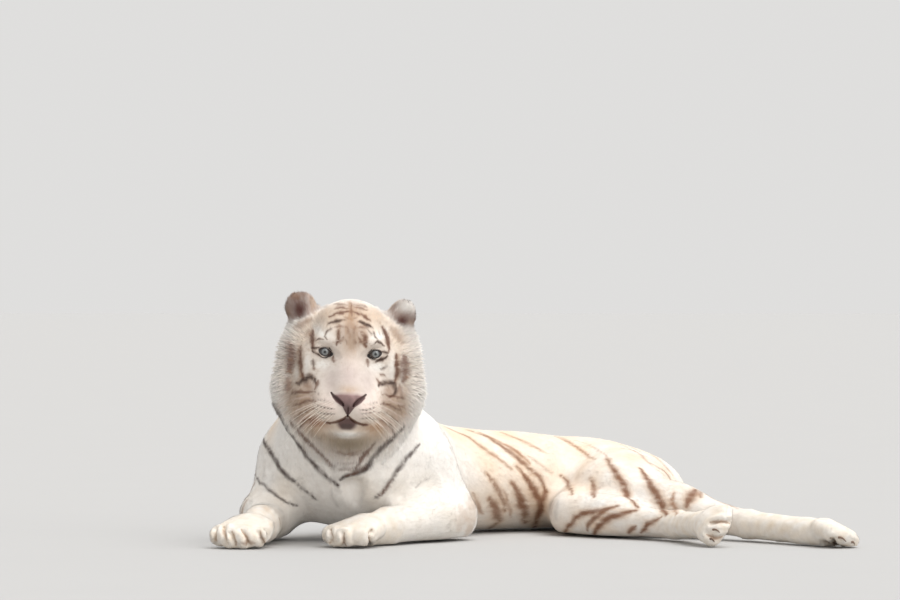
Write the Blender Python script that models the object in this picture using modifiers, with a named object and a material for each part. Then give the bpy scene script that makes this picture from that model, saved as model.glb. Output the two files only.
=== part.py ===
"""A white tiger lying down, life size: chest upright, hips rolled onto the right side.

The body is one smooth form, built from named masses (muscle, bone and fur) that blend
into each other. It is then parted with thin cuts into the pieces a person would name.
Metres, +Z up, +X to the tiger's left, +Y away from its face. It rests on small flats at
one level, the height of the origin.
"""

import math

import bmesh
import bpy
import numpy as np
from mathutils import Matrix, Vector

# ---- driving dimensions -------------------------------------------------------------
VOXEL = 0.0075  # grid of the first rough skin, before it settles onto the masses
GAP = 0.0004  # every cut leaves this much room
FACE_FACES = 1100  # triangles kept on the front of the head
SKULL_FACES = 800  # triangles kept on the rest of the head and the ears
PAW_FACES = 250  # triangles kept on each paw
BODY_FACES = 1500  # triangles kept on the rest
FLAT_BAND = 0.0020  # what lies this near the floor lies flat on it

EYE_RADIUS = 0.0195
EYE_APART = 0.066  # from the middle of the face to the middle of each eye
HEAD_PLACE = Vector((-0.4753, 0.125, 0.507))  # halfway between the eyes
HEAD_YAW = math.radians(2.8)  # the nose points a little to the tiger's left
HEAD_ROLL = math.radians(2.6)  # the tiger's left side is the lower
HEAD_PITCH = math.radians(3.0)  # nose down

WHITE_COAT = (0.86, 0.82, 0.76)
FLANK_COAT = (0.80, 0.71, 0.60)
FOOT_COAT = (0.84, 0.78, 0.68)
EAR_BROWN = (0.50, 0.39, 0.33)
EYE_BLUE = (0.45, 0.55, 0.62)


# ---- masses: the field is negative inside and positive outside ------------------------
class Ellipsoid:
    """A rounded mass: its middle, its three half sizes, and how it is turned."""

    def __init__(self, middle, half_sizes, turned=(0, 0, 0)):
        self.middle = np.array(middle, float)
        self.half_sizes = np.array(half_sizes, float)
        self.axes = rotation(turned)

    def distance(self, points):
        local = (points - self.middle) @ self.axes
        near = np.linalg.norm(local / self.half_sizes, axis=1)
        slope = np.linalg.norm(local / self.half_sizes**2, axis=1)
        return near * (near - 1) / np.maximum(slope, 1e-9)

    def rough(self, grow=0.0):
        shape = np.diag(self.half_sizes + grow)
        return [(self.middle, self.axes @ shape)]


class Bone:
    """A length that tapers from one round end to the other, like a limb segment."""

    def __init__(self, start, end, start_radius, end_radius):
        self.start = np.array(start, float)
        self.end = np.array(end, float)
        self.radii = (start_radius, end_radius)

    def distance(self, points):
        along = self.end - self.start
        share = np.clip((points - self.start) @ along / (along @ along), 0, 1)
        nearest = self.start + share[:, None] * along
        radius = self.radii[0] + share * (self.radii[1] - self.radii[0])
        return np.linalg.norm(points - nearest, axis=1) - radius

    def rough(self, grow=0.0):
        length = np.linalg.norm(self.end - self.start)
        steps = max(2, round(1.6 * length / min(self.radii)))
        balls = []
        for share in np.linspace(0, 1, steps):
            radius = self.radii[0] + share * (self.radii[1] - self.radii[0]) + grow
            balls.append((self.start + share * (self.end - self.start), np.eye(3) * radius))
        return balls


def rotation(degrees):
    """Turns about X, then Y, then Z, as a 3x3 array."""
    x, y, z = (math.radians(angle) for angle in degrees)
    turn = Matrix.Rotation(z, 3, "Z") @ Matrix.Rotation(y, 3, "Y") @ Matrix.Rotation(x, 3, "X")
    return np.array(turn)


def blend(first, second, width):
    """The smaller of two fields, with the crease between them filled over width."""
    share = np.clip(0.5 + 0.5 * (second - first) / width, 0, 1)
    return second + share * (first - second) - width * share * (1 - share)


def field_of(masses, points, width):
    total = masses[0].distance(points)
    for mass in masses[1:]:
        total = blend(total, mass.distance(points), width)
    return total


# ---- the head, in its own frame: X to the tiger's left, Y back, Z up, eyes at zero ------
def head_matrix():
    turn = Matrix.Rotation(HEAD_YAW, 4, "Z") @ Matrix.Rotation(HEAD_ROLL, 4, "Y")
    return Matrix.Translation(HEAD_PLACE) @ turn @ Matrix.Rotation(HEAD_PITCH, 4, "X")


def both_sides(make):
    """The same mass on the left and on the right of the face."""
    return [make(1), make(-1)]


def skull_masses():
    masses = [
        Ellipsoid((0, 0.110, 0.028), (0.112, 0.130, 0.108)),  # brain case
        Ellipsoid((0, 0.040, 0.034), (0.084, 0.076, 0.074)),  # forehead
        Bone((0, 0.034, -0.012), (0, -0.070, -0.094), 0.054, 0.044),  # bridge of the nose
        Ellipsoid((0, -0.084, -0.120), (0.042, 0.050, 0.034)),  # nose
        Ellipsoid((0, -0.040, -0.190), (0.044, 0.056, 0.032)),  # chin
        Ellipsoid((0, 0.075, -0.190), (0.120, 0.100, 0.082)),  # beard and throat
        Ellipsoid((0, 0.185, -0.070), (0.160, 0.115, 0.170)),  # nape and back of the ruff
    ]
    masses += both_sides(lambda s: Ellipsoid((s * 0.037, -0.066, -0.145), (0.047, 0.056, 0.038), (8, 0, s * 18)))
    masses += both_sides(lambda s: Bone((s * 0.046, 0.022, -0.056), (s * 0.046, -0.040, -0.125), 0.044, 0.045))
    masses += both_sides(lambda s: Ellipsoid((s * 0.057, 0.026, 0.030), (0.040, 0.046, 0.020), (0, s * 12, 0)))
    masses += both_sides(lambda s: Ellipsoid((s * 0.094, 0.058, -0.030), (0.052, 0.066, 0.062)))
    masses += both_sides(lambda s: Ellipsoid((s * 0.088, 0.068, -0.115), (0.064, 0.082, 0.070)))
    masses += both_sides(lambda s: Bone((s * 0.026, -0.010, -0.176), (s * 0.085, 0.090, -0.150), 0.034, 0.052))
    return masses


def ruff_masses():
    masses = both_sides(lambda s: Ellipsoid((s * 0.122, 0.128, -0.112), (0.088, 0.078, 0.112), (0, s * 6, s * -12)))
    masses += both_sides(lambda s: Ellipsoid((s * 0.128, 0.118, 0.002), (0.062, 0.064, 0.085), (0, s * -18, 0)))
    masses += both_sides(lambda s: Ellipsoid((s * 0.075, 0.105, -0.190), (0.082, 0.076, 0.066), (0, s * -20, 0)))
    return masses


def ear_turn(side):
    """How far each ear leans out, and how far it is turned from straight ahead."""
    return (26, -20) if side < 0 else (38, -48)


def ear_masses(side):
    """One round ear, leaning out and facing a little forward: a thick cup."""
    lean, face = ear_turn(side)
    place = (side * 0.134, 0.122, 0.099 - side * 0.004)
    return [
        Ellipsoid(place, (0.045, 0.021, 0.044), (-12, side * lean, side * face)),
        Ellipsoid((side * 0.116, 0.118, 0.072), (0.040, 0.028, 0.032), (0, side * lean, side * face)),
    ]


def ear_hollow(side):
    """What the front of the ear's cup is scooped out by."""
    lean, face = ear_turn(side)
    forward = rotation((0, 0, side * face)) @ np.array((0, -0.020, 0.002))
    place = np.array((side * 0.134, 0.122, 0.099 - side * 0.004)) + forward
    return Ellipsoid(place, (0.032, 0.021, 0.032), (-12, side * lean, side * face))


def eye_places():
    return {"eye_right": Vector((-EYE_APART, 0, 0)), "eye_left": Vector((EYE_APART, 0, 0))}


def in_head_frame(points):
    return (points - np.array(head_matrix().translation)) @ np.array(head_matrix().to_3x3())


def head_field(points):
    local = in_head_frame(points)
    total = blend(field_of(skull_masses(), local, 0.028), field_of(ruff_masses(), local, 0.030), 0.030)
    for side, place in zip((-1, 1), eye_places().values()):
        lids = Ellipsoid(np.array(place) + (0, 0.004, 0), (0.031, 0.023, 0.023))
        total = blend(total, lids.distance(local), 0.018)
        opening = Ellipsoid(np.array(place) + (side * 0.001, -0.022, 0), (0.0215, 0.019, 0.0128), (0, side * -6, 0))
        total = -blend(-total, opening.distance(local), 0.007)
    for side in (1, -1):
        ear = field_of(ear_masses(side), local, 0.020)
        ear = -blend(-ear, ear_hollow(side).distance(local), 0.008)
        total = blend(total, ear, 0.014)
    return total


# ---- the body, in the model's frame ----------------------------------------------------
def trunk_masses():
    return [
        Ellipsoid((-0.490, 0.400, 0.220), (0.200, 0.150, 0.165), (0, 0, -12)),  # breast
        Ellipsoid((-0.470, 0.375, 0.155), (0.150, 0.120, 0.105), (0, 0, -10)),  # brisket
        Ellipsoid((-0.620, 0.430, 0.210), (0.105, 0.125, 0.148), (0, 10, -10)),  # right shoulder
        Ellipsoid((-0.330, 0.440, 0.210), (0.115, 0.135, 0.138), (0, -10, -20)),  # left shoulder
        Ellipsoid((-0.400, 0.555, 0.185), (0.185, 0.190, 0.163), (0, 0, -30)),  # withers
        Ellipsoid((-0.275, 0.690, 0.152), (0.185, 0.210, 0.154), (0, 4, -38)),  # ribs
        Ellipsoid((-0.105, 0.845, 0.138), (0.172, 0.220, 0.146), (0, 8, -48)),  # belly
        Ellipsoid((0.085, 0.940, 0.126), (0.165, 0.210, 0.136), (0, 8, -58)),  # loin
        Ellipsoid((0.225, 0.980, 0.112), (0.150, 0.170, 0.120), (0, 8, -65)),  # rump
        Ellipsoid((0.320, 1.010, 0.092), (0.110, 0.120, 0.090), (0, 0, -65)),  # buttock
    ]


def neck_masses():
    return [
        Bone((-0.480, 0.280, 0.420), (-0.450, 0.430, 0.240), 0.130, 0.155),
        Bone((-0.500, 0.285, 0.330), (-0.490, 0.360, 0.230), 0.150, 0.160),
    ]


TAIL_BENDS = [
    (0.290, 1.020, 0.085), (0.360, 1.095, 0.060), (0.408, 1.190, 0.043), (0.392, 1.300, 0.038),
    (0.300, 1.385, 0.036), (0.170, 1.405, 0.035), (0.030, 1.365, 0.034), (-0.100, 1.310, 0.033),
    (-0.230, 1.290, 0.031), (-0.330, 1.320, 0.029),
]


def smooth_path(bends, share_steps=3):
    """Points along an even curve through the bends, ends included."""
    places = [np.array(place) for place in bends]
    ends = [2 * places[0] - places[1]] + places + [2 * places[-1] - places[-2]]
    path = []
    for before, start, end, after in zip(ends, ends[1:], ends[2:], ends[3:]):
        for step in range(share_steps):
            t = step / share_steps
            pull = (end - before) * t + (2 * before - 5 * start + 4 * end - after) * t**2
            path.append(start + 0.5 * (pull + (3 * (start - end) + after - before) * t**3))
    return path + [places[-1]]


def tail_masses():
    """The tail lies on the floor behind the back and tapers to a blunt tip."""
    path = smooth_path(TAIL_BENDS)
    radii = np.linspace(0.046, 0.027, len(path))
    return [Bone(path[i], path[i + 1], radii[i], radii[i + 1]) for i in range(len(path) - 1)]


class Foreleg:
    """One foreleg, from the shoulder to the toes."""

    def __init__(self, name, shoulder, elbow, wrist, toes):
        self.name = name
        self.joints = [np.array(place, float) for place in (shoulder, elbow, wrist, toes)]

    def masses(self):
        shoulder, elbow, wrist, _ = self.joints
        return [
            Bone(shoulder, elbow, 0.100, 0.072),
            Bone(elbow, wrist, 0.066, 0.055),
            Ellipsoid(elbow * 0.68 + wrist * 0.32 + (0, 0, 0.012), (0.078, 0.078, 0.066)),
        ]

    def paw(self):
        _, _, wrist, toes = self.joints
        return paw_masses(wrist, toes, (0, 0, 1), 0.172, 0.030)


class Hindleg:
    """One hind leg, from the hip to the toes. The thigh and calf are broad and flat."""

    def __init__(self, name, joints, up, radii, thigh, calf_half_sizes):
        self.name = name
        self.joints = [np.array(place, float) for place in joints]
        self.up = up
        self.radii = radii
        self.thigh = thigh
        self.calf_half_sizes = calf_half_sizes

    def masses(self):
        hip, knee, hock, _ = self.joints
        calf = knee * 0.66 + hock * 0.34
        way = math.degrees(math.atan2(*(hock - knee)[1::-1]))
        return [
            Bone(hip, knee, *self.radii[:2]),
            Bone(knee, hock, *self.radii[2:]),
            self.thigh,
            Ellipsoid(calf + (0, 0, 0.004), self.calf_half_sizes, (0, 0, way)),
        ]

    def paw(self):
        _, _, hock, toes = self.joints
        foot = toes - hock
        ball = hock + foot * 0.60
        masses = [Bone(hock, ball, 0.041, 0.038)]
        return masses + paw_masses(ball - foot * 0.05, toes, self.up, 0.128, 0.026)


def paw_masses(wrist, tip, up, width, toe_radius):
    """A broad paw with four toes side by side, the middle two a little longer."""
    ahead = np.array(Vector(tip - wrist).normalized())
    side = np.array(Vector(np.cross(ahead, up)).normalized())
    over = np.cross(side, ahead)
    length = np.linalg.norm(tip - wrist)
    palm = wrist + ahead * length * 0.42
    masses = [Bone(wrist, palm, toe_radius * 1.55, toe_radius * 1.5)]
    for place in (-1.5, -0.5, 0.5, 1.5):
        middle_toe = abs(place) < 1
        spread = side * place * (width - 2 * toe_radius) / 3
        reach = length * (1.0 if middle_toe else 0.90) - toe_radius
        knuckle = palm + spread * 0.72 + over * (0.016 if middle_toe else 0.008)
        nose = wrist + ahead * reach + spread - over * toe_radius * 0.10
        masses.append(Bone(knuckle, nose, toe_radius * 1.02, toe_radius))
    return masses


FORELEGS = [
    Foreleg("left", (-0.295, 0.385, 0.200), (-0.214, 0.390, 0.064), (-0.372, 0.165, 0.052), (-0.517, 0.004, 0.030)),
    Foreleg("right", (-0.640, 0.420, 0.205), (-0.700, 0.430, 0.068), (-0.708, 0.170, 0.056), (-0.772, -0.050, 0.029)),
]
HINDLEGS = [
    Hindleg("left", [(0.215, 0.900, 0.128), (0.262, 0.650, 0.098), (0.575, 0.350, 0.046), (0.835, 0.030, 0.031)],
            (0.2, 0.3, 1.0), (0.110, 0.088, 0.078, 0.042),
            Ellipsoid((0.250, 0.800, 0.128), (0.150, 0.205, 0.098), (0, 4, -8)), (0.125, 0.075, 0.066)),
    Hindleg("right", [(0.160, 0.860, 0.070), (0.112, 0.610, 0.060), (0.385, 0.345, 0.044), (0.500, 0.045, 0.060)],
            (-0.9, 0.1, 0.45), (0.080, 0.064, 0.056, 0.042),
            Ellipsoid((0.125, 0.760, 0.062), (0.095, 0.180, 0.066), (0, 0, 8)), (0.115, 0.066, 0.058)),
]


def body_field(points):
    """The whole tiger. Limbs that only touch each other keep a sharp crease."""
    trunk = field_of(trunk_masses() + neck_masses(), points, 0.085)
    total = blend(trunk, field_of(tail_masses(), points, 0.020), 0.020)
    for leg in FORELEGS:
        limb = blend(field_of(leg.masses(), points, 0.045), field_of(leg.paw(), points, 0.011), 0.022)
        total = blend(total, limb, 0.040)
    hind = [
        blend(field_of(leg.masses(), points, 0.050), field_of(leg.paw(), points, 0.011), 0.022)
        for leg in HINDLEGS
    ]
    total = blend(total, hind[0], 0.040)
    total = blend(total, hind[1], 0.012)
    return blend(total, head_field(points), 0.020)


# ---- from masses to a mesh ---------------------------------------------------------------
def rough_balls():
    """Every mass as balls and ellipsoids in the model's frame, for the first rough mesh."""
    body = trunk_masses() + neck_masses() + tail_masses()
    for leg in FORELEGS + HINDLEGS:
        body += leg.masses() + leg.paw()
    balls = [ball for mass in body for ball in mass.rough(0.003)]
    head = skull_masses() + ruff_masses() + ear_masses(1) + ear_masses(-1)
    turn = np.array(head_matrix().to_3x3())
    origin = np.array(head_matrix().translation)
    for mass in head:
        balls += [(origin + turn @ middle, turn @ shape) for middle, shape in mass.rough(0.002)]
    return balls


def rough_body(voxel):
    """All the masses joined into one closed skin by a voxel remesh."""
    joined = bmesh.new()
    for middle, shape in rough_balls():
        place = Matrix.Translation(Vector(middle)) @ Matrix(shape.tolist()).to_4x4()
        bmesh.ops.create_icosphere(joined, subdivisions=2, radius=1.0, matrix=place)
    mesh = bpy.data.meshes.new("rough_body")
    joined.to_mesh(mesh)
    joined.free()
    body = bpy.data.objects.new("rough_body", mesh)
    bpy.context.scene.collection.objects.link(body)
    remesh = body.modifiers.new("one_skin", "REMESH")
    remesh.mode = "VOXEL"
    remesh.voxel_size = voxel
    return apply_modifiers(body)


def apply_modifiers(shape):
    """The object with its modifiers' result as its own mesh."""
    graph = bpy.context.evaluated_depsgraph_get()
    old = shape.data
    shape.data = bpy.data.meshes.new_from_object(shape.evaluated_get(graph))
    shape.modifiers.clear()
    bpy.data.meshes.remove(old)
    return shape


def points_of(mesh):
    points = np.empty(len(mesh.vertices) * 3)
    mesh.vertices.foreach_get("co", points)
    return points.reshape(-1, 3)


def set_points(mesh, points):
    mesh.vertices.foreach_set("co", points.astype(np.float32).ravel())
    mesh.update()


def relaxed(points, edges, share):
    """Each point moved part of the way to the middle of its neighbours."""
    total = np.zeros_like(points)
    count = np.bincount(edges.ravel(), minlength=len(points))[:, None]
    for axis in range(3):
        total[:, axis] = np.bincount(edges[:, 0], points[edges[:, 1], axis], len(points))
        total[:, axis] += np.bincount(edges[:, 1], points[edges[:, 0], axis], len(points))
    return points + share * (total / np.maximum(count, 1) - points)


def settle(body, rounds=5, step=0.0015):
    """Moves the rough skin onto the field of the masses."""
    mesh = body.data
    edges = np.empty(len(mesh.edges) * 2, np.int32)
    mesh.edges.foreach_get("vertices", edges)
    edges = edges.reshape(-1, 2)
    points = points_of(mesh)
    for turn in range(rounds):
        if turn < rounds - 1:
            points = relaxed(points, edges, 0.5)
        here = body_field(points)
        slope = np.stack([body_field(points + offset) - here for offset in np.eye(3) * step], axis=1) / step
        steep = np.maximum((slope**2).sum(1), 0.05)
        move = np.clip(here / steep, -0.02, 0.02)
        points = points - slope * move[:, None]
    set_points(mesh, points)
    return body


def rest_on_floor(shape):
    """What reaches the floor is pressed flat on it, so every flat is at one level."""
    points = points_of(shape.data)
    points[points[:, 2] < FLAT_BAND, 2] = 0
    set_points(shape.data, points)


def thinned(shape, inside, keep_faces):
    """Fewer triangles in the zone where inside(points) holds. The rest stays as it is."""
    mesh = shape.data
    chosen = inside(points_of(mesh))
    zone = shape.vertex_groups.new(name="zone")
    zone.add(np.flatnonzero(chosen).tolist(), 1.0, "REPLACE")
    mesh.calc_loop_triangles()
    corners = np.empty(len(mesh.loop_triangles) * 3, np.int32)
    mesh.loop_triangles.foreach_get("vertices", corners)
    here = int(chosen[corners.reshape(-1, 3)].all(axis=1).sum())
    total = len(mesh.loop_triangles)
    thin = shape.modifiers.new("thin", "DECIMATE")
    thin.ratio = min(1.0, (total - here + keep_faces) / total)
    thin.vertex_group = zone.name
    apply_modifiers(shape)
    shape.vertex_groups.clear()
    return shape


def in_head(points):
    local = in_head_frame(points)
    return (local[:, 1] < 0.20) & (local[:, 2] > -0.27)


def in_face(points):
    local = in_head_frame(points)
    return (local[:, 1] < 0.025) & (local[:, 2] > -0.24) & (np.abs(local[:, 0]) < 0.11)


def near_paws(points):
    """For each point, whether it is on one of the four paws."""
    found = np.zeros(len(points), bool)
    for leg in FORELEGS + HINDLEGS:
        *_, wrist, toes = leg.joints
        start = wrist if isinstance(leg, Foreleg) else wrist + (toes - wrist) * 0.45
        along = toes - start
        share = (points - start) @ along / (along @ along)
        aside = np.linalg.norm(points - start - np.clip(share, 0, 1.2)[:, None] * along, axis=1)
        found |= (share > 0.05) & (aside < 0.12)
    return found


# ---- parting the whole into nodes ----------------------------------------------------------
class Cut:
    """A thin plane cut: the piece beyond it, inside a box that starts at the plane."""

    def __init__(self, name, place, toward, half_width, half_height, depth, up=(0, 0, 1)):
        self.name = name
        self.place = Vector(place)
        self.toward = Vector(toward).normalized()
        self.side = Vector(up).cross(self.toward).normalized()
        self.over = self.toward.cross(self.side)
        self.half_sizes = (half_width, half_height, depth / 2)

    def cutter(self, grow):
        box = bmesh.new()
        turn = Matrix((self.side, self.over, self.toward)).transposed().to_4x4()
        middle = self.place + self.toward * self.half_sizes[2]
        size = Matrix.Diagonal([2 * (half + grow) for half in self.half_sizes] + [1])
        bmesh.ops.create_cube(box, size=1.0, matrix=Matrix.Translation(middle) @ turn @ size)
        return object_of(box, "cutter")


def object_of(shape, name):
    mesh = bpy.data.meshes.new(name)
    shape.to_mesh(mesh)
    shape.free()
    made = bpy.data.objects.new(name, mesh)
    bpy.context.scene.collection.objects.link(made)
    return made


def combined(shape, other, operation):
    step = shape.modifiers.new("cut", "BOOLEAN")
    step.operation = operation
    step.solver = "EXACT"
    step.object = other
    apply_modifiers(shape)
    bpy.data.objects.remove(other)
    return shape


def largest_part(shape):
    """Only the biggest loose piece, with its triangles made sound."""
    solid = bmesh.new()
    solid.from_mesh(shape.data)
    bmesh.ops.remove_doubles(solid, verts=solid.verts, dist=2e-5)
    bmesh.ops.dissolve_degenerate(solid, dist=1e-5, edges=solid.edges)
    bmesh.ops.triangulate(solid, faces=solid.faces)
    left = set(solid.verts)
    parts = []
    while left:
        found, reach = set(), [left.pop()]
        while reach:
            vert = reach.pop()
            found.add(vert)
            for edge in vert.link_edges:
                other = edge.other_vert(vert)
                if other in left:
                    left.discard(other)
                    reach.append(other)
        parts.append(found)
    keep = max(parts, key=len)
    bmesh.ops.delete(solid, geom=[vert for vert in solid.verts if vert not in keep], context="VERTS")
    bmesh.ops.recalc_face_normals(solid, faces=solid.faces)
    solid.to_mesh(shape.data)
    solid.free()
    return shape


def part_off(whole, cut):
    """The piece beyond the cut as its own object. The whole loses it and the gap."""
    piece = whole.copy()
    piece.data = whole.data.copy()
    piece.name = cut.name
    bpy.context.scene.collection.objects.link(piece)
    combined(piece, cut.cutter(0), "INTERSECT")
    combined(whole, cut.cutter(GAP), "DIFFERENCE")
    largest_part(whole)
    return largest_part(piece)


def head_cuts():
    turn = head_matrix()

    def placed(name, place, toward, *sizes):
        return Cut(name, turn @ Vector(place), turn.to_3x3() @ Vector(toward), *sizes)

    return [
        placed("ear_right", (-0.118, 0.120, 0.081), (-0.50, 0.05, 0.86), 0.058, 0.062, 0.15),
        placed("ear_left", (0.119, 0.120, 0.073), (0.58, 0.05, 0.81), 0.058, 0.062, 0.15),
        placed("head", (0, 0.178, -0.092), (0, -0.85, 0.52), 0.32, 0.27, 0.52),
        Cut("neck", (-0.468, 0.370, 0.310), (-0.03, -0.15, 0.18), 0.32, 0.24, 0.40),
    ]


def tail_cuts():
    return [
        Cut("tail_tip", (-0.035, 1.340, 0.03), (-1, -0.35, 0), 0.15, 0.12, 0.45),
        Cut("tail_middle", (0.240, 1.400, 0.03), (-1, 0.15, 0), 0.12, 0.12, 0.36),
        Cut("tail_base", (0.385, 1.150, 0.03), (0.3, 1, 0), 0.30, 0.12, 0.40),
    ]


def foreleg_cuts(leg):
    """The paw at the wrist, the forearm at the elbow, and the upper arm at the shoulder."""
    shoulder, elbow, wrist, toes = (Vector(place) for place in leg.joints)
    outward = -1 if leg.name == "right" else 1
    forearm = wrist - elbow
    start = elbow + forearm * 0.26
    return [
        Cut(leg.name + "_forepaw", wrist, toes - wrist, 0.125, 0.12, 0.35),
        Cut(leg.name + "_forearm", start, forearm, 0.098, 0.125, 0.40),
        Cut(leg.name + "_upper_arm", shoulder + Vector((outward * 0.005, 0, -0.030)),
            (outward * 0.95, 0.05, -0.30), 0.128, 0.19, 0.30),
    ]


def hindleg_cuts(leg):
    """The foot at the hock and the shank at the knee."""
    _, knee, hock, toes = (Vector(place) for place in leg.joints)
    start = knee + (hock - knee) * 0.12
    return [
        Cut(leg.name + "_hind_foot", hock, toes - hock, 0.095, 0.13, 0.50),
        Cut(leg.name + "_shank", start, hock - knee, 0.100 if leg.name == "left" else 0.078, 0.16, 0.50),
    ]


def trunk_cuts():
    return [
        Cut("chest", (-0.345, 0.610, 0.15), (-0.62, -0.78, 0), 0.45, 0.40, 0.70),
        Cut("hips", (0.085, 0.930, 0.15), (0.87, 0.49, 0), 0.45, 0.40, 0.70),
    ]


def all_cuts():
    left_thigh = Cut("left_thigh", (0.283, 0.815, 0.18), (0.18, -0.98, -0.05), 0.16, 0.22, 0.32, (-0.62, -0.15, 0.78))
    right_thigh = Cut("right_thigh", (0.130, 0.785, 0.05), (-0.10, -0.99, -0.02), 0.120, 0.120, 0.40)
    cuts = head_cuts() + tail_cuts()
    for leg in FORELEGS:
        cuts += foreleg_cuts(leg)
    for leg in HINDLEGS:
        cuts += hindleg_cuts(leg)
    return cuts + [left_thigh, right_thigh] + trunk_cuts()


def eyeball(name, radius, label):
    ball = bmesh.new()
    place = head_matrix() @ Matrix.Translation(eye_places()[name])
    bmesh.ops.create_icosphere(ball, subdivisions=2, radius=radius, matrix=place)
    return object_of(ball, label)


def slot(name, colour, roughness):
    material = bpy.data.materials.new(name)
    material.use_nodes = True
    surface = material.node_tree.nodes["Principled BSDF"]
    surface.inputs["Base Color"].default_value = (*colour, 1.0)
    surface.inputs["Roughness"].default_value = roughness
    material.diffuse_color = (*colour, 1.0)
    return material


def paint(pieces):
    """One material for each piece, by what the piece is."""
    white = slot("white_coat", WHITE_COAT, 0.9)
    striped = slot("striped_coat", FLANK_COAT, 0.9)
    foot = slot("foot_coat", FOOT_COAT, 0.9)
    ear = slot("ear_fur", EAR_BROWN, 0.9)
    eye = slot("eye", EYE_BLUE, 0.1)
    for name, piece in pieces.items():
        chosen = white
        if name.startswith("ear"):
            chosen = ear
        elif name.startswith("eye"):
            chosen = eye
        elif name.endswith(("paw", "foot")):
            chosen = foot
        elif name.startswith("tail") or name.endswith(("thigh", "shank")) or name in ("belly", "hips"):
            chosen = striped
        piece.data.materials.clear()
        piece.data.materials.append(chosen)


def centre_on_origin(pieces):
    """Moves all the pieces so that the middle of the base of their box is the origin."""
    points = np.concatenate([points_of(piece.data) for piece in pieces.values()])
    low, high = points.min(0), points.max(0)
    shift = np.array(((low[0] + high[0]) / 2, (low[1] + high[1]) / 2, low[2]))
    for piece in pieces.values():
        set_points(piece.data, points_of(piece.data) - shift)


def whole_body():
    """The tiger in one closed skin, with few triangles on the trunk and more on the head."""
    body = settle(rough_body(VOXEL))
    rest_on_floor(body)
    thinned(body, in_face, FACE_FACES)
    thinned(body, lambda points: in_head(points) & ~in_face(points), SKULL_FACES)
    thinned(body, near_paws, PAW_FACES * 4)
    thinned(body, lambda points: ~in_head(points) & ~near_paws(points), BODY_FACES)
    rest_on_floor(body)
    return body


def main():
    for old in list(bpy.data.objects):
        bpy.data.objects.remove(old)
    whole = whole_body()
    pieces = {}
    for cut in all_cuts():
        pieces[cut.name] = part_off(whole, cut)
    pieces["belly"] = whole
    whole.name = "belly"
    for name in eye_places():
        combined(pieces["head"], eyeball(name, EYE_RADIUS + GAP, "socket"), "DIFFERENCE")
        pieces[name] = eyeball(name, EYE_RADIUS, name)
    largest_part(pieces["head"])
    paint(pieces)
    centre_on_origin(pieces)


if __name__ == "__main__":
    main()
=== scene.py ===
"""A white tiger lying at rest, life size: skin, coat, eyes, whiskers, claws and a plain studio.

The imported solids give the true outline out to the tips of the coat. One skin lies inside
them by the coat's depth, and the coat stands on it as small solid tufts. Metres, +Z up,
+X to the tiger's left, +Y away from its face.
"""

import logging
import math
from collections.abc import Iterator
from contextlib import contextmanager
from dataclasses import dataclass, field, replace
from enum import Enum
from functools import cached_property
from typing import ClassVar

import bmesh
import bpy
import numpy as np
from mathutils import Matrix, Vector
from mathutils.kdtree import KDTree


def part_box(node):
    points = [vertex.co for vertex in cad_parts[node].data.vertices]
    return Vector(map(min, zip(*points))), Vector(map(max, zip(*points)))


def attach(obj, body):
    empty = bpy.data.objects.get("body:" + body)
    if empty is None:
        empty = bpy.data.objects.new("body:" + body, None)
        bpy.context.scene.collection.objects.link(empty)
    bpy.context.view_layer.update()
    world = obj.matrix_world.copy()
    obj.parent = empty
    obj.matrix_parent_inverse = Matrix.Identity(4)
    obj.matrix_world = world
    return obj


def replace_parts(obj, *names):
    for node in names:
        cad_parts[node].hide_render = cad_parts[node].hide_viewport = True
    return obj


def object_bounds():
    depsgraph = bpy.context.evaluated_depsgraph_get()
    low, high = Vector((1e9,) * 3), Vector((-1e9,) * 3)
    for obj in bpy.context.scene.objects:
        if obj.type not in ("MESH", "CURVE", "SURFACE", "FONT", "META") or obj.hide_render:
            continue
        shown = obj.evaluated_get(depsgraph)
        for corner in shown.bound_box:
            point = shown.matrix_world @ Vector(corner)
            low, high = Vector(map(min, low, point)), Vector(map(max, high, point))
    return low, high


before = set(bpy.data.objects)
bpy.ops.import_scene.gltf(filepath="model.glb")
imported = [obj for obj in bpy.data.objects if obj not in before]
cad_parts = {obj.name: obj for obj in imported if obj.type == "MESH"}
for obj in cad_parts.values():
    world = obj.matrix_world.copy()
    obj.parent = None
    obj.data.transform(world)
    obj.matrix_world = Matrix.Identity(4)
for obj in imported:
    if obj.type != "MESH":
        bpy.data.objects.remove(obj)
SOLID_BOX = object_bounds()

log = logging.getLogger("white_tiger")
logging.basicConfig(level=logging.INFO, format="%(name)s: %(message)s")

Array = np.ndarray
Path = tuple[tuple[float, ...], ...]
FLESH = [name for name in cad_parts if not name.startswith("eye")]
MM = 0.001
EARS = ("ear_left", "ear_right")
LEFT_FORELEG = ("left_upper_arm", "left_forearm", "left_forepaw")
RIGHT_FORELEG = ("right_upper_arm", "right_forearm", "right_forepaw")
LEFT_HIND_LEG = ("left_thigh", "left_shank", "left_hind_foot")
RIGHT_HIND_LEG = ("right_thigh", "right_shank", "right_hind_foot")
LEGS = (LEFT_FORELEG, RIGHT_FORELEG, LEFT_HIND_LEG, RIGHT_HIND_LEG)
FEET = tuple(leg[2] for leg in LEGS)
FOREARMS = (LEFT_FORELEG[1], RIGHT_FORELEG[1])
SHANKS = (LEFT_HIND_LEG[1], RIGHT_HIND_LEG[1])
TAIL = ("tail_base", "tail_middle", "tail_tip")
UP = np.array((0, 0, 1))


# ---- small tools ----
def unit(vectors: Array) -> Array:
    """Each row at length one."""
    return vectors / np.maximum(np.linalg.norm(vectors, axis=-1, keepdims=True), 1e-9)


def ease(low: float, high: float, values: Array) -> Array:
    """An even step from 0 at low to 1 at high."""
    share = np.clip((values - low) / (high - low), 0, 1)
    return share * share * (3 - 2 * share)


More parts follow.
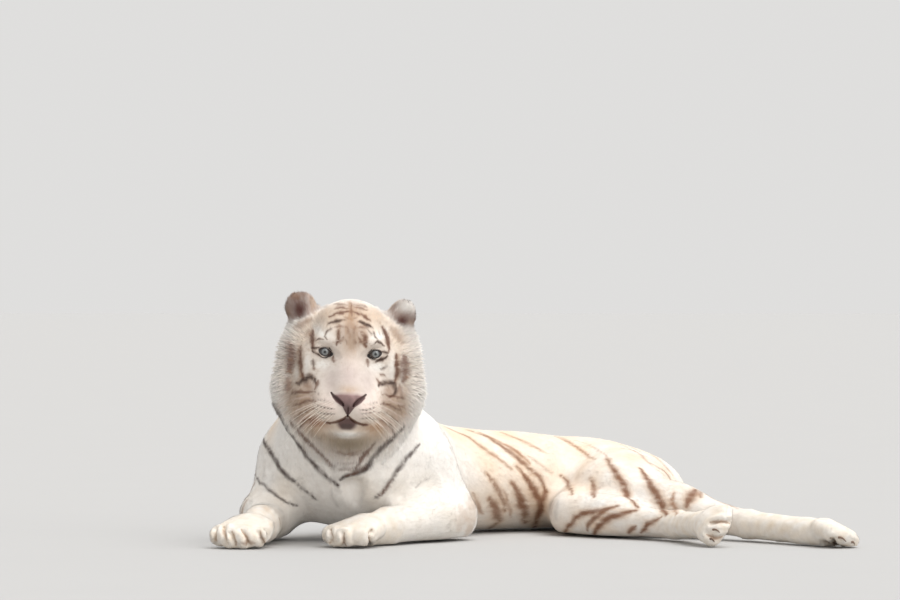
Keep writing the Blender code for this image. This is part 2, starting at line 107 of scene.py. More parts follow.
def linear(colour: tuple[float, float, float]) -> Array:
    """A screen colour as linear light."""
    value = np.array(colour, float)
    return np.where(value <= 0.04045, value / 12.92, ((value + 0.055) / 1.055) ** 2.4)


def waves(points: Array, size: float, seed: int) -> Array:
    """Soft mottling from -1 to 1 for each place; like patches lie about size metres apart."""
    count = 9
    pick = np.random.default_rng(seed)
    ways = unit(pick.normal(size=(count, 3))) * (2 * math.pi / size) * pick.uniform(0.6, 1.5, (count, 1))
    phases = pick.uniform(0, 2 * math.pi, count)
    return np.sin(points @ ways.T + phases).sum(1) / math.sqrt(count * 0.9) / 1.4


def distance_to_path(points: Array, path: Array) -> tuple[Array, Array]:
    """How far points lie from a bent line, and how far along it is nearest.

    Args:
        points: Places, one a row.
        path: The line's corners, one a row, with as many columns as the places.

    Returns:
        The distances, and the shares along the line from 0 to 1.
    """
    spans = np.linalg.norm(np.diff(path, axis=0), axis=1)
    starts = np.concatenate([[0], np.cumsum(spans)]) / max(spans.sum(), 1e-9)
    best = np.full(len(points), 1e9)
    share = np.zeros(len(points))
    for index, span in enumerate(spans):
        along = path[index + 1] - path[index]
        t = np.clip((points - path[index]) @ along / max(span**2, 1e-12), 0, 1)
        far = np.linalg.norm(points - path[index] - t[:, None] * along, axis=1)
        nearer = far < best
        best = np.where(nearer, far, best)
        share = np.where(nearer, starts[index] + t * (starts[index + 1] - starts[index]), share)
    return best, share


def column(items: bpy.types.bpy_prop_collection, key: str, kind: type, width: int = 1) -> Array:
    """One property of every item, read at once, with width numbers a row."""
    flat = np.empty(len(items) * width, kind)
    items.foreach_get(key, flat)
    return flat if width == 1 else flat.reshape(-1, width)


def vertices_of(mesh: bpy.types.Mesh) -> Array:
    """The mesh's points, one a row."""
    return column(mesh.vertices, "co", np.float32, 3).astype(float)


def move_vertices(mesh: bpy.types.Mesh, points: Array) -> None:
    """Puts the mesh's points in new places."""
    mesh.vertices.foreach_set("co", points.astype(np.float32).ravel())
    mesh.update()


def normals_of(mesh: bpy.types.Mesh) -> Array:
    """Which way each point of the mesh faces."""
    return column(mesh.vertex_normals, "vector", np.float32, 3).astype(float)


def edges_of(mesh: bpy.types.Mesh) -> Array:
    """The two ends of each edge, one a row."""
    return column(mesh.edges, "vertices", np.int32, 2)


def triangles_of(mesh: bpy.types.Mesh) -> Array:
    """Three point numbers for each triangle of the mesh."""
    mesh.calc_loop_triangles()
    return column(mesh.loop_triangles, "vertices", np.int32, 3)


@contextmanager
def reshaped(mesh: bpy.types.Mesh) -> Iterator[bmesh.types.BMesh]:
    """Opens a mesh for changes and writes them back."""
    shape = bmesh.new()
    shape.from_mesh(mesh)
    yield shape
    shape.to_mesh(mesh)
    shape.free()


def placed(name: str, data: bpy.types.ID) -> bpy.types.Object:
    """A new object at the origin, linked to the scene."""
    made = bpy.data.objects.new(name, data)
    bpy.context.scene.collection.objects.link(made)
    return made


def middle_of(name: str) -> Vector:
    """The middle of a solid's box."""
    return sum(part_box(name), Vector()) / 2


def tree_of(points: Array) -> KDTree:
    """Finds the nearest of some points."""
    tree = KDTree(len(points))
    for index, place in enumerate(points.tolist()):
        tree.insert(place, index)
    tree.balance()
    return tree


def evened(values: Array, edges: Array, rounds: int, share: float | Array = 0.5) -> Array:
    """Values on the points of a mesh, each pulled towards its neighbours' mean.

    Args:
        values: One row for each point.
        edges: The two ends of each edge.
        rounds: How often.
        share: How far each round pulls, for all points or for each.

    Returns:
        The evened values.
    """
    count = np.bincount(edges.ravel(), minlength=len(values)).astype(float)[:, None]
    pull = share if np.isscalar(share) else np.asarray(share)[:, None]
    for _ in range(rounds):
        total = np.zeros_like(values)
        for index in range(values.shape[1]):
            total[:, index] = np.bincount(edges[:, 0], values[edges[:, 1], index], len(values))
            total[:, index] += np.bincount(edges[:, 1], values[edges[:, 0], index], len(values))
        values = values + pull * (total / np.maximum(count, 1) - values)
    return values


def streaked(values: Array, points: Array, ways: Array, edges: Array, rounds: int) -> Array:
    """Noise on the points of a mesh, drawn out along the lie of the coat.

    Args:
        values: One number for each point.
        points: The points.
        ways: Which way the coat lies at each.
        edges: The two ends of each edge.
        rounds: How far the streaks are drawn out.

    Returns:
        The streaks, with a spread of about one.
    """
    sharp, across = 6.0, 0.02
    step = unit(points[edges[:, 1]] - points[edges[:, 0]])
    first, second = (np.abs((step * ways[edges[:, end]]).sum(1)) ** sharp + across for end in (0, 1))
    count = len(values)
    total = 1 + np.bincount(edges[:, 0], first, count) + np.bincount(edges[:, 1], second, count)
    for _ in range(rounds):
        pulled = values + np.bincount(edges[:, 0], first * values[edges[:, 1]], count)
        values = (pulled + np.bincount(edges[:, 1], second * values[edges[:, 0]], count)) / total
    return (values - values.mean()) / values.std()


def mesh_object(name: str, points: Array, faces: list) -> bpy.types.Object:
    """A new object in the scene, from points one a row and faces as rows of point numbers."""
    mesh = bpy.data.meshes.new(name)
    mesh.from_pydata(points.tolist(), [], faces)
    mesh.update()
    return placed(name, mesh)


def triangles_object(name: str, points: Array, triangles: Array) -> bpy.types.Object:
    """A new object from many triangles at once.

    Args:
        name: The piece's name.
        points: Its points, one a row.
        triangles: Three point numbers a row.

    Returns:
        The object, linked to the scene.
    """
    mesh = bpy.data.meshes.new(name)
    mesh.vertices.add(len(points))
    mesh.loops.add(len(triangles) * 3)
    mesh.polygons.add(len(triangles))
    mesh.vertices.foreach_set("co", points.astype(np.float32).ravel())
    mesh.loops.foreach_set("vertex_index", triangles.astype(np.int32).ravel())
    mesh.polygons.foreach_set("loop_start", np.arange(0, len(triangles) * 3, 3, dtype=np.int32))
    mesh.update(calc_edges=True)
    return placed(name, mesh)


def paint_points(mesh: bpy.types.Mesh, name: str, colours: Array) -> None:
    """Stores one linear colour for each point of the mesh."""
    stored = mesh.color_attributes.new(name, "FLOAT_COLOR", "POINT")
    four = np.concatenate([colours, np.ones((len(colours), 1))], 1)
    stored.data.foreach_set("color", four.astype(np.float32).ravel())


def draw_towards(colours: Array, tone: Array, share: Array) -> None:
    """Draws colours towards a tone, each by its own share, in place."""
    colours += (tone - colours) * share[:, None]


def store_number(mesh: bpy.types.Mesh, name: str, values: Array) -> None:
    """Stores one number for each point of the mesh."""
    stored = mesh.attributes.new(name, "FLOAT", "POINT")
    stored.data.foreach_set("value", values.astype(np.float32))


def finished(piece: bpy.types.Object, material: bpy.types.Material) -> bpy.types.Object:
    """Dresses a piece, lets it ride on the body, and reports it.

    Args:
        piece: The piece, in place.
        material: Its finish.

    Returns:
        The same piece.
    """
    piece.data.materials.clear()
    piece.data.materials.append(material)
    piece.data.polygons.foreach_set("use_smooth", np.ones(len(piece.data.polygons), bool))
    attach(piece, "root")
    log.info("%s: %d triangles", piece.name, len(triangles_of(piece.data)))
    return piece


# ---- shader expressions ----
@dataclass
class Flow:
    """One output of a shader tree, with sums and products written as Python."""

    tree: bpy.types.NodeTree
    socket: bpy.types.NodeSocket

    def _maths(self, kind: str, first: "Flow | float", second: "Flow | float") -> "Flow":
        """A Math node on two values."""
        return add_node(self.tree, "ShaderNodeMath", {"operation": kind}, {0: first, 1: second})

    def __add__(self, other: "Flow | float") -> "Flow":
        """The sum."""
        return self._maths("ADD", self, other)

    __radd__ = __add__

    def __mul__(self, other: "Flow | float") -> "Flow":
        """The product."""
        return self._maths("MULTIPLY", self, other)

    __rmul__ = __mul__

    def __sub__(self, other: "Flow | float") -> "Flow":
        """The difference."""
        return self._maths("SUBTRACT", self, other)

    def __rsub__(self, other: "Flow | float") -> "Flow":
        """The difference from a number."""
        return self._maths("SUBTRACT", other, self)


def add_node(
    tree: bpy.types.NodeTree, kind: str, settings: dict, sockets: dict, output: int | str = 0
) -> Flow:
    """Adds a node, with its settings first and then its sockets.

    Args:
        tree: The tree it goes in.
        kind: The node's type.
        settings: Its own properties, and stops for a ramp.
        sockets: Values or flows by socket name or number.
        output: Which output is wanted.

    Returns:
        That output.
    """
    node = tree.nodes.new(kind)
    for key, value in settings.items():
        if key == "stops":
            while len(node.color_ramp.elements) < len(value):
                node.color_ramp.elements.new(0.5)
            for element, (place, colour) in zip(node.color_ramp.elements, value):
                element.position = place
                element.color = (*colour, 1)
        else:
            setattr(node, key, value)
    for key, value in sockets.items():
        if isinstance(value, Flow):
            tree.links.new(value.socket, node.inputs[key])
        else:
            node.inputs[key].default_value = value
    return Flow(tree, node.outputs[output])


class Finish:
    """A material under construction: its tree, and the shader that everything feeds."""

    def __init__(self, name: str, **constants: float | tuple) -> None:
        """Makes the material and sets what is the same all over it.

        Args:
            name: The material's name.
            **constants: Values by the shader's socket names, with spaces as underscores.
        """
        self.material = bpy.data.materials.new(name)
        self.material.use_nodes = True
        self.tree = self.material.node_tree
        self.shader = self.tree.nodes["Principled BSDF"]
        for key, value in constants.items():
            self.shader.inputs[key.replace("_", " ")].default_value = value

    def add(
        self, kind: str, settings: dict | None = None, output: int | str = 0, **sockets: object
    ) -> Flow:
        """Adds a node whose sockets are given by name, with spaces as underscores."""
        named = {key.replace("_", " "): value for key, value in sockets.items()}
        return add_node(self.tree, kind, settings or {}, named, output)

    def stored(self, name: str, output: str = "Color") -> Flow:
        """What the mesh stores under this name."""
        return self.add("ShaderNodeAttribute", {"attribute_name": name}, output)

    def grain(self, scale: float, detail: float = 3.0, stretch: tuple = (1, 1, 1)) -> Flow:
        """Noise on the piece's own metres."""
        place = self.add("ShaderNodeTexCoord", output="Object")
        turned = self.add("ShaderNodeMapping", Vector=place, Scale=stretch)
        return self.add("ShaderNodeTexNoise", Vector=turned, Scale=scale, Detail=detail)

    def mixed(
        self, factor: Flow | float, first: Flow | tuple, second: Flow | tuple, how: str = "MIX"
    ) -> Flow:
        """One colour over another."""
        first, second = (one if isinstance(one, Flow) else (*one, 1) for one in (first, second))
        settings = {"data_type": "RGBA", "blend_type": how}
        return add_node(self.tree, "ShaderNodeMix", settings, {0: factor, 6: first, 7: second}, 2)

    def toned(self, flow: Flow, factor: Flow, *stops: tuple[float, tuple]) -> Flow:
        """A colour multiplied by a ramp of tones."""
        ramp = self.add("ShaderNodeValToRGB", {"stops": stops}, Fac=factor)
        return self.mixed(1.0, flow, ramp, "MULTIPLY")

    def feed(self, socket: str, flow: Flow) -> None:
        """Links a flow to the shader."""
        self.tree.links.new(flow.socket, self.shader.inputs[socket])

    def rough_up(self, height: Flow, strength: float, distance: float) -> None:
        """Feeds a bump from a height."""
        self.feed("Normal", self.add("ShaderNodeBump", Height=height, Strength=strength, Distance=distance))


# ---- the head's own frame ----
@dataclass(frozen=True)
class HeadFrame:
    """X to the tiger's left, Y back, Z up, with zero halfway between the eyes."""

    pitch: float = math.radians(3.0)

    @cached_property
    def matrix(self) -> Matrix:
        """Where the head's frame stands in the model."""
        left, right = middle_of("eye_left"), middle_of("eye_right")
        across = (left - right).normalized()
        turn = Matrix.Rotation(math.atan2(across.y, across.x), 4, "Z")
        turn = turn @ Matrix.Rotation(-math.asin(across.z), 4, "Y") @ Matrix.Rotation(self.pitch, 4, "X")
        return Matrix.Translation((left + right) / 2) @ turn

    @cached_property
    def eye_reach(self) -> float:
        """From the middle of the face to the middle of each eye."""
        return (middle_of("eye_left") - middle_of("eye_right")).length / 2

    @cached_property
    def eye_radius(self) -> float:
        """Half of the eyeball's width."""
        low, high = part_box("eye_left")
        return (high.z - low.z) / 2

    def local(self, points: Array) -> Array:
        """Places of the model in the head's frame."""
        return (points - np.array(self.matrix.translation)) @ np.array(self.matrix.to_3x3())

    def world(self, points: Array) -> Array:
        """Places of the head's frame in the model."""
        return points @ np.array(self.matrix.to_3x3()).T + np.array(self.matrix.translation)

    def world_way(self, ways: Array) -> Array:
        """Directions of the head's frame in the model."""
        return ways @ np.array(self.matrix.to_3x3()).T


HEAD = HeadFrame()


# ---- markings ----
class Ink(Enum):
    """The colours that the stripes and patches have, as screen colours."""

    SOOT = (0.26, 0.185, 0.155)
    UMBER = (0.43, 0.300, 0.240)
    SLATE = (0.31, 0.255, 0.240)
    RUSSET = (0.52, 0.360, 0.265)
    FAWN = (0.74, 0.62, 0.50)
    TAN = (0.64, 0.50, 0.38)
    RUST = (0.60, 0.42, 0.30)
    MAROON = (0.25, 0.14, 0.135)
    LIP = (0.37, 0.27, 0.26)
    CLAY = (0.60, 0.47, 0.38)
    FLAX = (0.80, 0.66, 0.53)
    GREY = (0.74, 0.72, 0.70)
    WHITE = (0.97, 0.96, 0.94)
    PINK = (0.93, 0.86, 0.83)
    EARTH = (0.54, 0.39, 0.315)
    # Painted shade inside the ears' hollows.
    HOLLOW_SHADE = (0.33, 0.18, 0.155)
    # Partly the tan beard, partly painted shade under the jaw.
    BEARD_AND_SHADE = (0.63, 0.58, 0.50)
    BLUSH = (0.755, 0.695, 0.675)
    BARK = (0.47, 0.325, 0.265)


@dataclass(frozen=True)
class Stripe:
    """One stripe: a bent line in millimetres, its width, colour and strength."""

    path: Path
    wide: float = 8.0
    ink: Ink = Ink.SOOT
    strength: float = 0.9
    even: bool = False

    CORNER_GAP: ClassVar[float] = 0.014

    def cover(self, points: Array, ragged: Array) -> Array:
        """How much of the stripe's colour each place takes, from 0 to 1.

        Args:
            points: Places in metres, with as many columns as the path.
            ragged: Mottling from -1 to 1 that roughens the edge.

        Returns:
            One value for each place.
        """
        path = np.array(self.path) * MM
        reach = self.wide * MM * 1.3
        near = ((points > path.min(0) - reach) & (points < path.max(0) + reach)).all(1)
        cover = np.zeros(len(points))
        if near.any():
            far, share = distance_to_path(points[near], path)
            rough = ragged[near]
            taper, edge, broken = 1.0, (0.55, 1.35), 1
            if not self.even:
                taper = 0.35 + 0.65 * np.sin(np.pi * np.clip(share, 0.04, 0.96)) ** 0.8
                edge, broken = (0.30, 1.55), np.clip(0.94 + 0.16 * rough, 0.5, 1)
            half = self.wide * MM / 2 * taper * (1 + 0.15 * rough)
            cover[near] = self.strength * (1 - ease(*edge, far / half)) * broken
        return cover

    def laid(self, tree: KDTree) -> "Stripe":
        """The same stripe with its line drawn close over the skin.

        Args:
            tree: Finds the nearest place of the skin.

        Returns:
            The stripe, with more corners.
        """
        path = np.array(self.path) * MM
        spans = np.linalg.norm(np.diff(path, axis=0), axis=1)
        starts = np.concatenate([[0], np.cumsum(spans)])
        wanted = np.linspace(0, starts[-1], max(3, int(starts[-1] / self.CORNER_GAP) + 1))
        even = np.stack([np.interp(wanted, starts, path[:, axis]) for axis in range(3)], 1)
        for _ in range(2):
            even[1:-1] = (even[:-2] + 2 * even[1:-1] + even[2:]) / 4
            even = np.array([tree.find(place)[0] for place in even.tolist()])
        return replace(self, path=tuple(map(tuple, even / MM)))


@dataclass(frozen=True)
class Spot:
    """A soft patch of colour on the head, in millimetres across the face and up."""

    x: float
    z: float
    wide: float
    high: float
    ink: Ink
    share: float = 0.7

    def cover(self, flat: Array) -> Array:
        """How much of the spot's colour each place takes."""
        x, z = ((flat / MM - (self.x, self.z)) / (self.wide, self.high)).T
        return self.share * np.exp(-x * x - z * z)


def stripes(*rows: tuple) -> tuple[Stripe, ...]:
    """Stripes from rows of line, width, ink and strength."""
    return tuple(Stripe(*row) for row in rows)


def gap_to(lines: tuple[Stripe, ...] | list[Stripe], points: Array) -> Array:
    """How far each place is from the nearest of some stripes' lines."""
    return np.min([distance_to_path(points, np.array(one.path) * MM)[0] for one in lines], axis=0)


def spots(*rows: tuple) -> tuple[Spot, ...]:
    """Spots from rows of middle, sizes, ink and strength."""
    return tuple(Spot(*row) for row in rows)


def both(*rows: tuple) -> tuple[Spot, ...]:
    """The spots of these rows, and the same on the other side of the face."""
    found = spots(*rows)
    return found + tuple(replace(one, x=-one.x) for one in found)


SOOT, UMBER, SLATE, RUSSET, FAWN, TAN, RUST, MAROON, LIP, CLAY = list(Ink)[:10]
FLAX, GREY, WHITE, PINK, EARTH, HOLLOW_SHADE, BEARD_AND_SHADE, BLUSH, BARK = list(Ink)[10:]
FACE_STRIPES = stripes(
    # warm shading under the lines
    (((-147, 56), (-126, 69), (-108, 79)), 17, CLAY, 0.65),
    (((104, 66), (123, 47), (140, 25)), 16, CLAY, 0.65),
    (((-117, 36), (-107, 45), (-101, 50)), 14.9, CLAY, 0.5),
    (((-6, 125), (-1, 109), (-1, 87)), 17.9, TAN, 0.55), (((-2, 81), (1, 52), (2, 20)), 44.8, TAN, 0.42),
    (((-33, 65), (-36, 36)), 17.9, TAN, 0.35), (((33, 62), (38, 21)), 20.9, TAN, 0.5),
    (((-135, 8), (-134, -32), (-127, -71)), 14.9, TAN, 0.5),
    (((127, -3), (130, -38), (127, -69)), 13.1, TAN, 0.4),
    # crown
    (((-47, 119), (-29, 122), (-11, 121)), 3.1, UMBER, 0.55),
    (((4, 123), (22, 122), (41, 118)), 3.1, UMBER, 0.5),
    (((-46, 111), (-29, 115), (-9, 114)), 3.8, UMBER, 0.8),
    (((6, 117), (23, 115), (42, 112)), 3.4, UMBER, 0.7),
    (((-58, 90), (-40, 100), (-9, 106)), 5.5, UMBER, 0.95),
    (((5, 106), (23, 102), (51, 84)), 5.9, UMBER, 0.95), (((-58, 74), (-42, 80), (-19, 87)), 6.9, SOOT, 1),
    (((19, 84), (36, 78), (55, 69)), 7.6, SOOT, 1), (((-2, 125), (-4, 112), (0, 96)), 6.2, UMBER, 0.6),
    (((-22, 95), (-7, 90)), 3.1, UMBER, 0.4), (((7, 90), (17, 94)), 3.1, UMBER, 0.4),
    # brow
    (((-43, 65), (-28, 70), (-16, 66)), 3.8, UMBER, 0.6), (((18, 67), (35, 70), (45, 65)), 3.8, UMBER, 0.6),
    (((-15, 72), (-7, 58), (-3, 43)), 3.4, UMBER, 0.4), (((12, 73), (6, 59), (4, 44)), 3.4, UMBER, 0.4),
    (((-53, 60), (-65, 52), (-68, 41), (-64, 33)), 4.1, SOOT, 0.9),
    (((-34, 58), (-32, 42), (-37, 21)), 7.6, UMBER, 0.95),
    (((-19, 43), (-25, 32), (-28, 24)), 4.1, UMBER, 0.75), (((26, 58), (36, 45), (40, 19)), 9.7, UMBER, 0.95),
    (((18, 45), (32, 25)), 4.5, UMBER, 0.7), (((-14, 37), (-10, 25)), 3.8, UMBER, 0.45),
    (((10, 38), (14, 25)), 3.8, UMBER, 0.45), (((45, 60), (59, 54), (65, 44)), 4.8, SOOT, 0.9),
    (((64, 27), (68, 35), (77, 31), (88, 21)), 4.1, SOOT, 0.9),
    (((-92, 28), (-83, 34), (-72, 31)), 3.8, SOOT, 0.85), (((73, 57), (78, 48)), 3.1, UMBER, 0.4),
    # temples and the corners of the eyes
    (((-100, 50), (-101, 30), (-99, 8)), 10.3, UMBER, 1), (((-102, 7), (-83, 10)), 5.2, SOOT, 0.9),
    (((-100, 2), (-90, -4), (-77, -13)), 6.2, SOOT, 1), (((-97, -23), (-94, -37)), 6.9, SOOT, 0.85),
    (((-93, -42), (-93, -47)), 4.5, UMBER, 0.7), (((79, 70), (90, 53), (98, 33), (102, 8)), 9, UMBER, 1),
    (((82, 6), (100, 4)), 5.5, SOOT, 0.9), (((96, -4), (85, -14), (69, -20)), 7.2, SOOT, 1),
    (((81, -38), (97, -34)), 5.9, SOOT, 0.9), (((80, -51), (94, -57)), 4.8, UMBER, 0.8),
    (((71, -60), (82, -77)), 4.8, UMBER, 0.8), (((-45, -10), (-42, -25)), 6.2, UMBER, 0.75),
    (((46, -14), (48, -33)), 7.6, UMBER, 0.75),
    # cheeks
    (((-129, 9), (-130, -17), (-127, -50), (-120, -78)), 9, UMBER, 0.95),
    (((-160, 12), (-154, -27), (-158, -66)), 27, BARK, 0.85),
    (((-160, -79), (-161, -118)), 16, EARTH, 0.7),
    (((-137, -91), (-120, -80), (-102, -67), (-91, -73), (-87, -83)), 13, SOOT, 0.95),
    (((-80, -74), (-89, -97)), 6.6, UMBER, 0.75), (((121, 0), (125, -38), (122, -75)), 9.7, UMBER, 0.95),
    (((142, -6), (147, -40), (144, -74)), 26, BARK, 0.85),
    (((78, -80), (94, -74), (115, -76), (125, -90), (121, -103), (110, -111)), 12, SOOT, 0.95),
    (((135, -81), (139, -114)), 10.1, EARTH, 0.5), (((162, -83), (159, -107)), 9, CLAY, 0.35),
    # jaws
    (((-58, -179), (-46, -183)), 8, UMBER, 0.8), (((39, -177), (54, -185)), 8.5, UMBER, 0.8),
    (((-148, -114), (-124, -106), (-103, -111)), 4, UMBER, 0.6), (((133, -136), (155, -147)), 4, UMBER, 0.5),
)
JAW_LINES = tuple(
    Stripe(
        (
            (side * (88 - 2 * row), -104 - 10.5 * row),
            (side * (116 - row), -109 - 13 * row),
            (side * (152 - 4 * row), -120 - 16.5 * row),
        ),
        6 - row % 2,
        (UMBER, PINK)[row % 2],
        (0.75, 0.40)[row % 2],
    )
    for side in (-1, 1)
    for row in range(8)
)
COLLAR_LINES = stripes(
    (((-194, -150), (-170, -197), (-150, -222)), 13, SLATE, 0.9),
    (((150, -196), (131, -218), (89, -257), (66, -290), (53, -306)), 14, SLATE, 0.9),
    (((-146, -199), (-100, -243), (-60, -280), (-36, -303)), 12, UMBER, 0.85),
    (((76, -238), (50, -270), (30, -306)), 11, UMBER, 0.85),
    (((-34, -262), (0, -273), (42, -260)), 7, UMBER, 0.5),
    (((-22, -297), (4, -300), (26, -294)), 7, UMBER, 0.5),
)
MOUTH = Stripe(((-10, -178), (7, -178)), 36, LIP, 0.97, True)
MOUTH_SHADE = Stripe(((-9, -187), (6, -187)), 17, SLATE, 0.75, True)
WHISKER_ROWS = stripes(
    (((-79, -121), (-65, -122), (-47, -124)), 4.5, SOOT, 0.7),
    (((-80, -136), (-60, -138), (-36, -140)), 4.9, SOOT, 0.9),
    (((-77, -153), (-59, -154), (-35, -153)), 4.9, SOOT, 0.8), (((-75, -166), (-56, -168)), 4.5, SOOT, 0.7),
    (((-79, -105), (-77, -109)), 5.7, UMBER, 0.7), (((54, -125), (75, -121)), 4.5, SOOT, 0.65),
    (((31, -139), (50, -139), (73, -132)), 4.9, SOOT, 0.85),
    (((36, -149), (53, -147), (74, -142)), 4.5, SOOT, 0.7),
    (((33, -163), (57, -160), (74, -167)), 4.5, SOOT, 0.6),
)
MOUTH_LINES = stripes(
    (((0, -156), (-11, -166), (-31, -176), (-47, -180), (-58, -179)), 8, UMBER, 0.95),
    (((0, -156), (10, -166), (22, -174), (38, -180), (52, -181)), 8, UMBER, 0.95),
)
NOSE_EDGE = (
    (-41, -103), (-22, -98), (0, -96), (22, -98), (42, -103), (44, -110), (34, -121), (17, -133), (6, -150),
    (0, -159), (-6, -150), (-15, -133), (-33, -121), (-43, -110),
)
# Dark nostrils, pressed into the skin: painted shade in the nostril openings.
NOSTRILS = stripes(
    (((-45, -101), (-38, -109), (-26, -117), (-15, -125), (-13, -129)), 10.5, MAROON, 0.96),
    (((44, -102), (36, -110), (24, -118), (15, -126), (13, -130)), 10.5, MAROON, 0.96),
)
# The dark groove down from the nose, pressed into the skin: painted shade in the groove.
SEPTUM = Stripe(((0, -134), (0, -160)), 3.6, MAROON, 0.85, True)
FACE_SPOTS = both(
    (112, 20, 30, 60, FAWN, 0.18), (104, -122, 26, 20, TAN, 0.50), (128, -128, 30, 34, TAN, 0.30),
    (150, -60, 22, 60, FAWN, 0.30), (70, 100, 30, 22, FAWN, 0.35),
) + spots(
    (0, 48, 28, 50, TAN, 0.46), (0, 105, 60, 26, FAWN, 0.45), (0, 112, 17, 22, EARTH, 0.38),
    (2, 66, 30, 16, EARTH, 0.25), (0, 8, 34, 30, FAWN, 0.34), (0, -56, 40, 44, BLUSH, 0.85),
    (0, -89, 28, 10, FAWN, 0.60),
) + both(
    (72, 46, 20, 11, WHITE, 0.95), (88, 58, 12, 10, WHITE, 0.6), (72, -34, 24, 13, WHITE, 0.92),
    (50, -74, 20, 36, BLUSH, 0.60), (50, -134, 30, 26, PINK, 0.75), (112, -36, 8, 40, WHITE, 0.65),
    (139, -52, 7, 46, WHITE, 0.5), (105, -93, 15, 14, CLAY, 0.70), (96, -190, 34, 14, PINK, 0.4),
    (168, -110, 16, 60, WHITE, 0.6), (170, -10, 24, 60, WHITE, 0.5), (75, -172, 16, 8, WHITE, 0.4),
) + spots(
    # Fawn, beard and clay patches under the chin: partly the tan beard, partly painted shade under the jaw.
    (-96, -168, 50, 34, TAN, 0.42), (96, -168, 50, 34, TAN, 0.40), (-146, -138, 44, 56, TAN, 0.42),
    (142, -146, 36, 50, TAN, 0.40), (0, -222, 120, 46, FAWN, 0.5), (-86, -188, 32, 14, RUST, 0.95),
    (74, -194, 28, 15, TAN, 0.95), (8, -243, 62, 24, BEARD_AND_SHADE, 0.9), (0, -275, 80, 30, CLAY, 0.25),
    (0, -226, 70, 10, BEARD_AND_SHADE, 0.35), (0, -210, 42, 12, WHITE, 0.97), (-84, -214, 30, 18, FAWN, 0.35),
    (84, -214, 30, 18, FAWN, 0.35),
)
# Ear colours; the darkest spot in each ear is painted shade in its hollow.
EAR_SPOTS = spots(
    (-142, 112, 70, 70, BARK, 0.92), (-150, 138, 34, 10, CLAY, 0.55), (-104, 124, 12, 30, FLAX, 0.60),
    (-118, 132, 4, 20, PINK, 0.45), (-138, 101, 17, 24, HOLLOW_SHADE, 0.97), (-170, 92, 9, 16, CLAY, 0.55),
    (-112, 100, 8, 12, PINK, 0.35), (140, 112, 60, 50, CLAY, 0.55), (108, 121, 20, 18, BARK, 0.92),
    (168, 92, 9, 20, BARK, 0.70), (140, 144, 34, 5, BARK, 0.5), (148, 121, 22, 15, WHITE, 0.95),
    (138, 90, 36, 18, BARK, 0.80), (137, 84, 20, 12, HOLLOW_SHADE, 0.97), (158, 82, 8, 8, FLAX, 0.35),
)

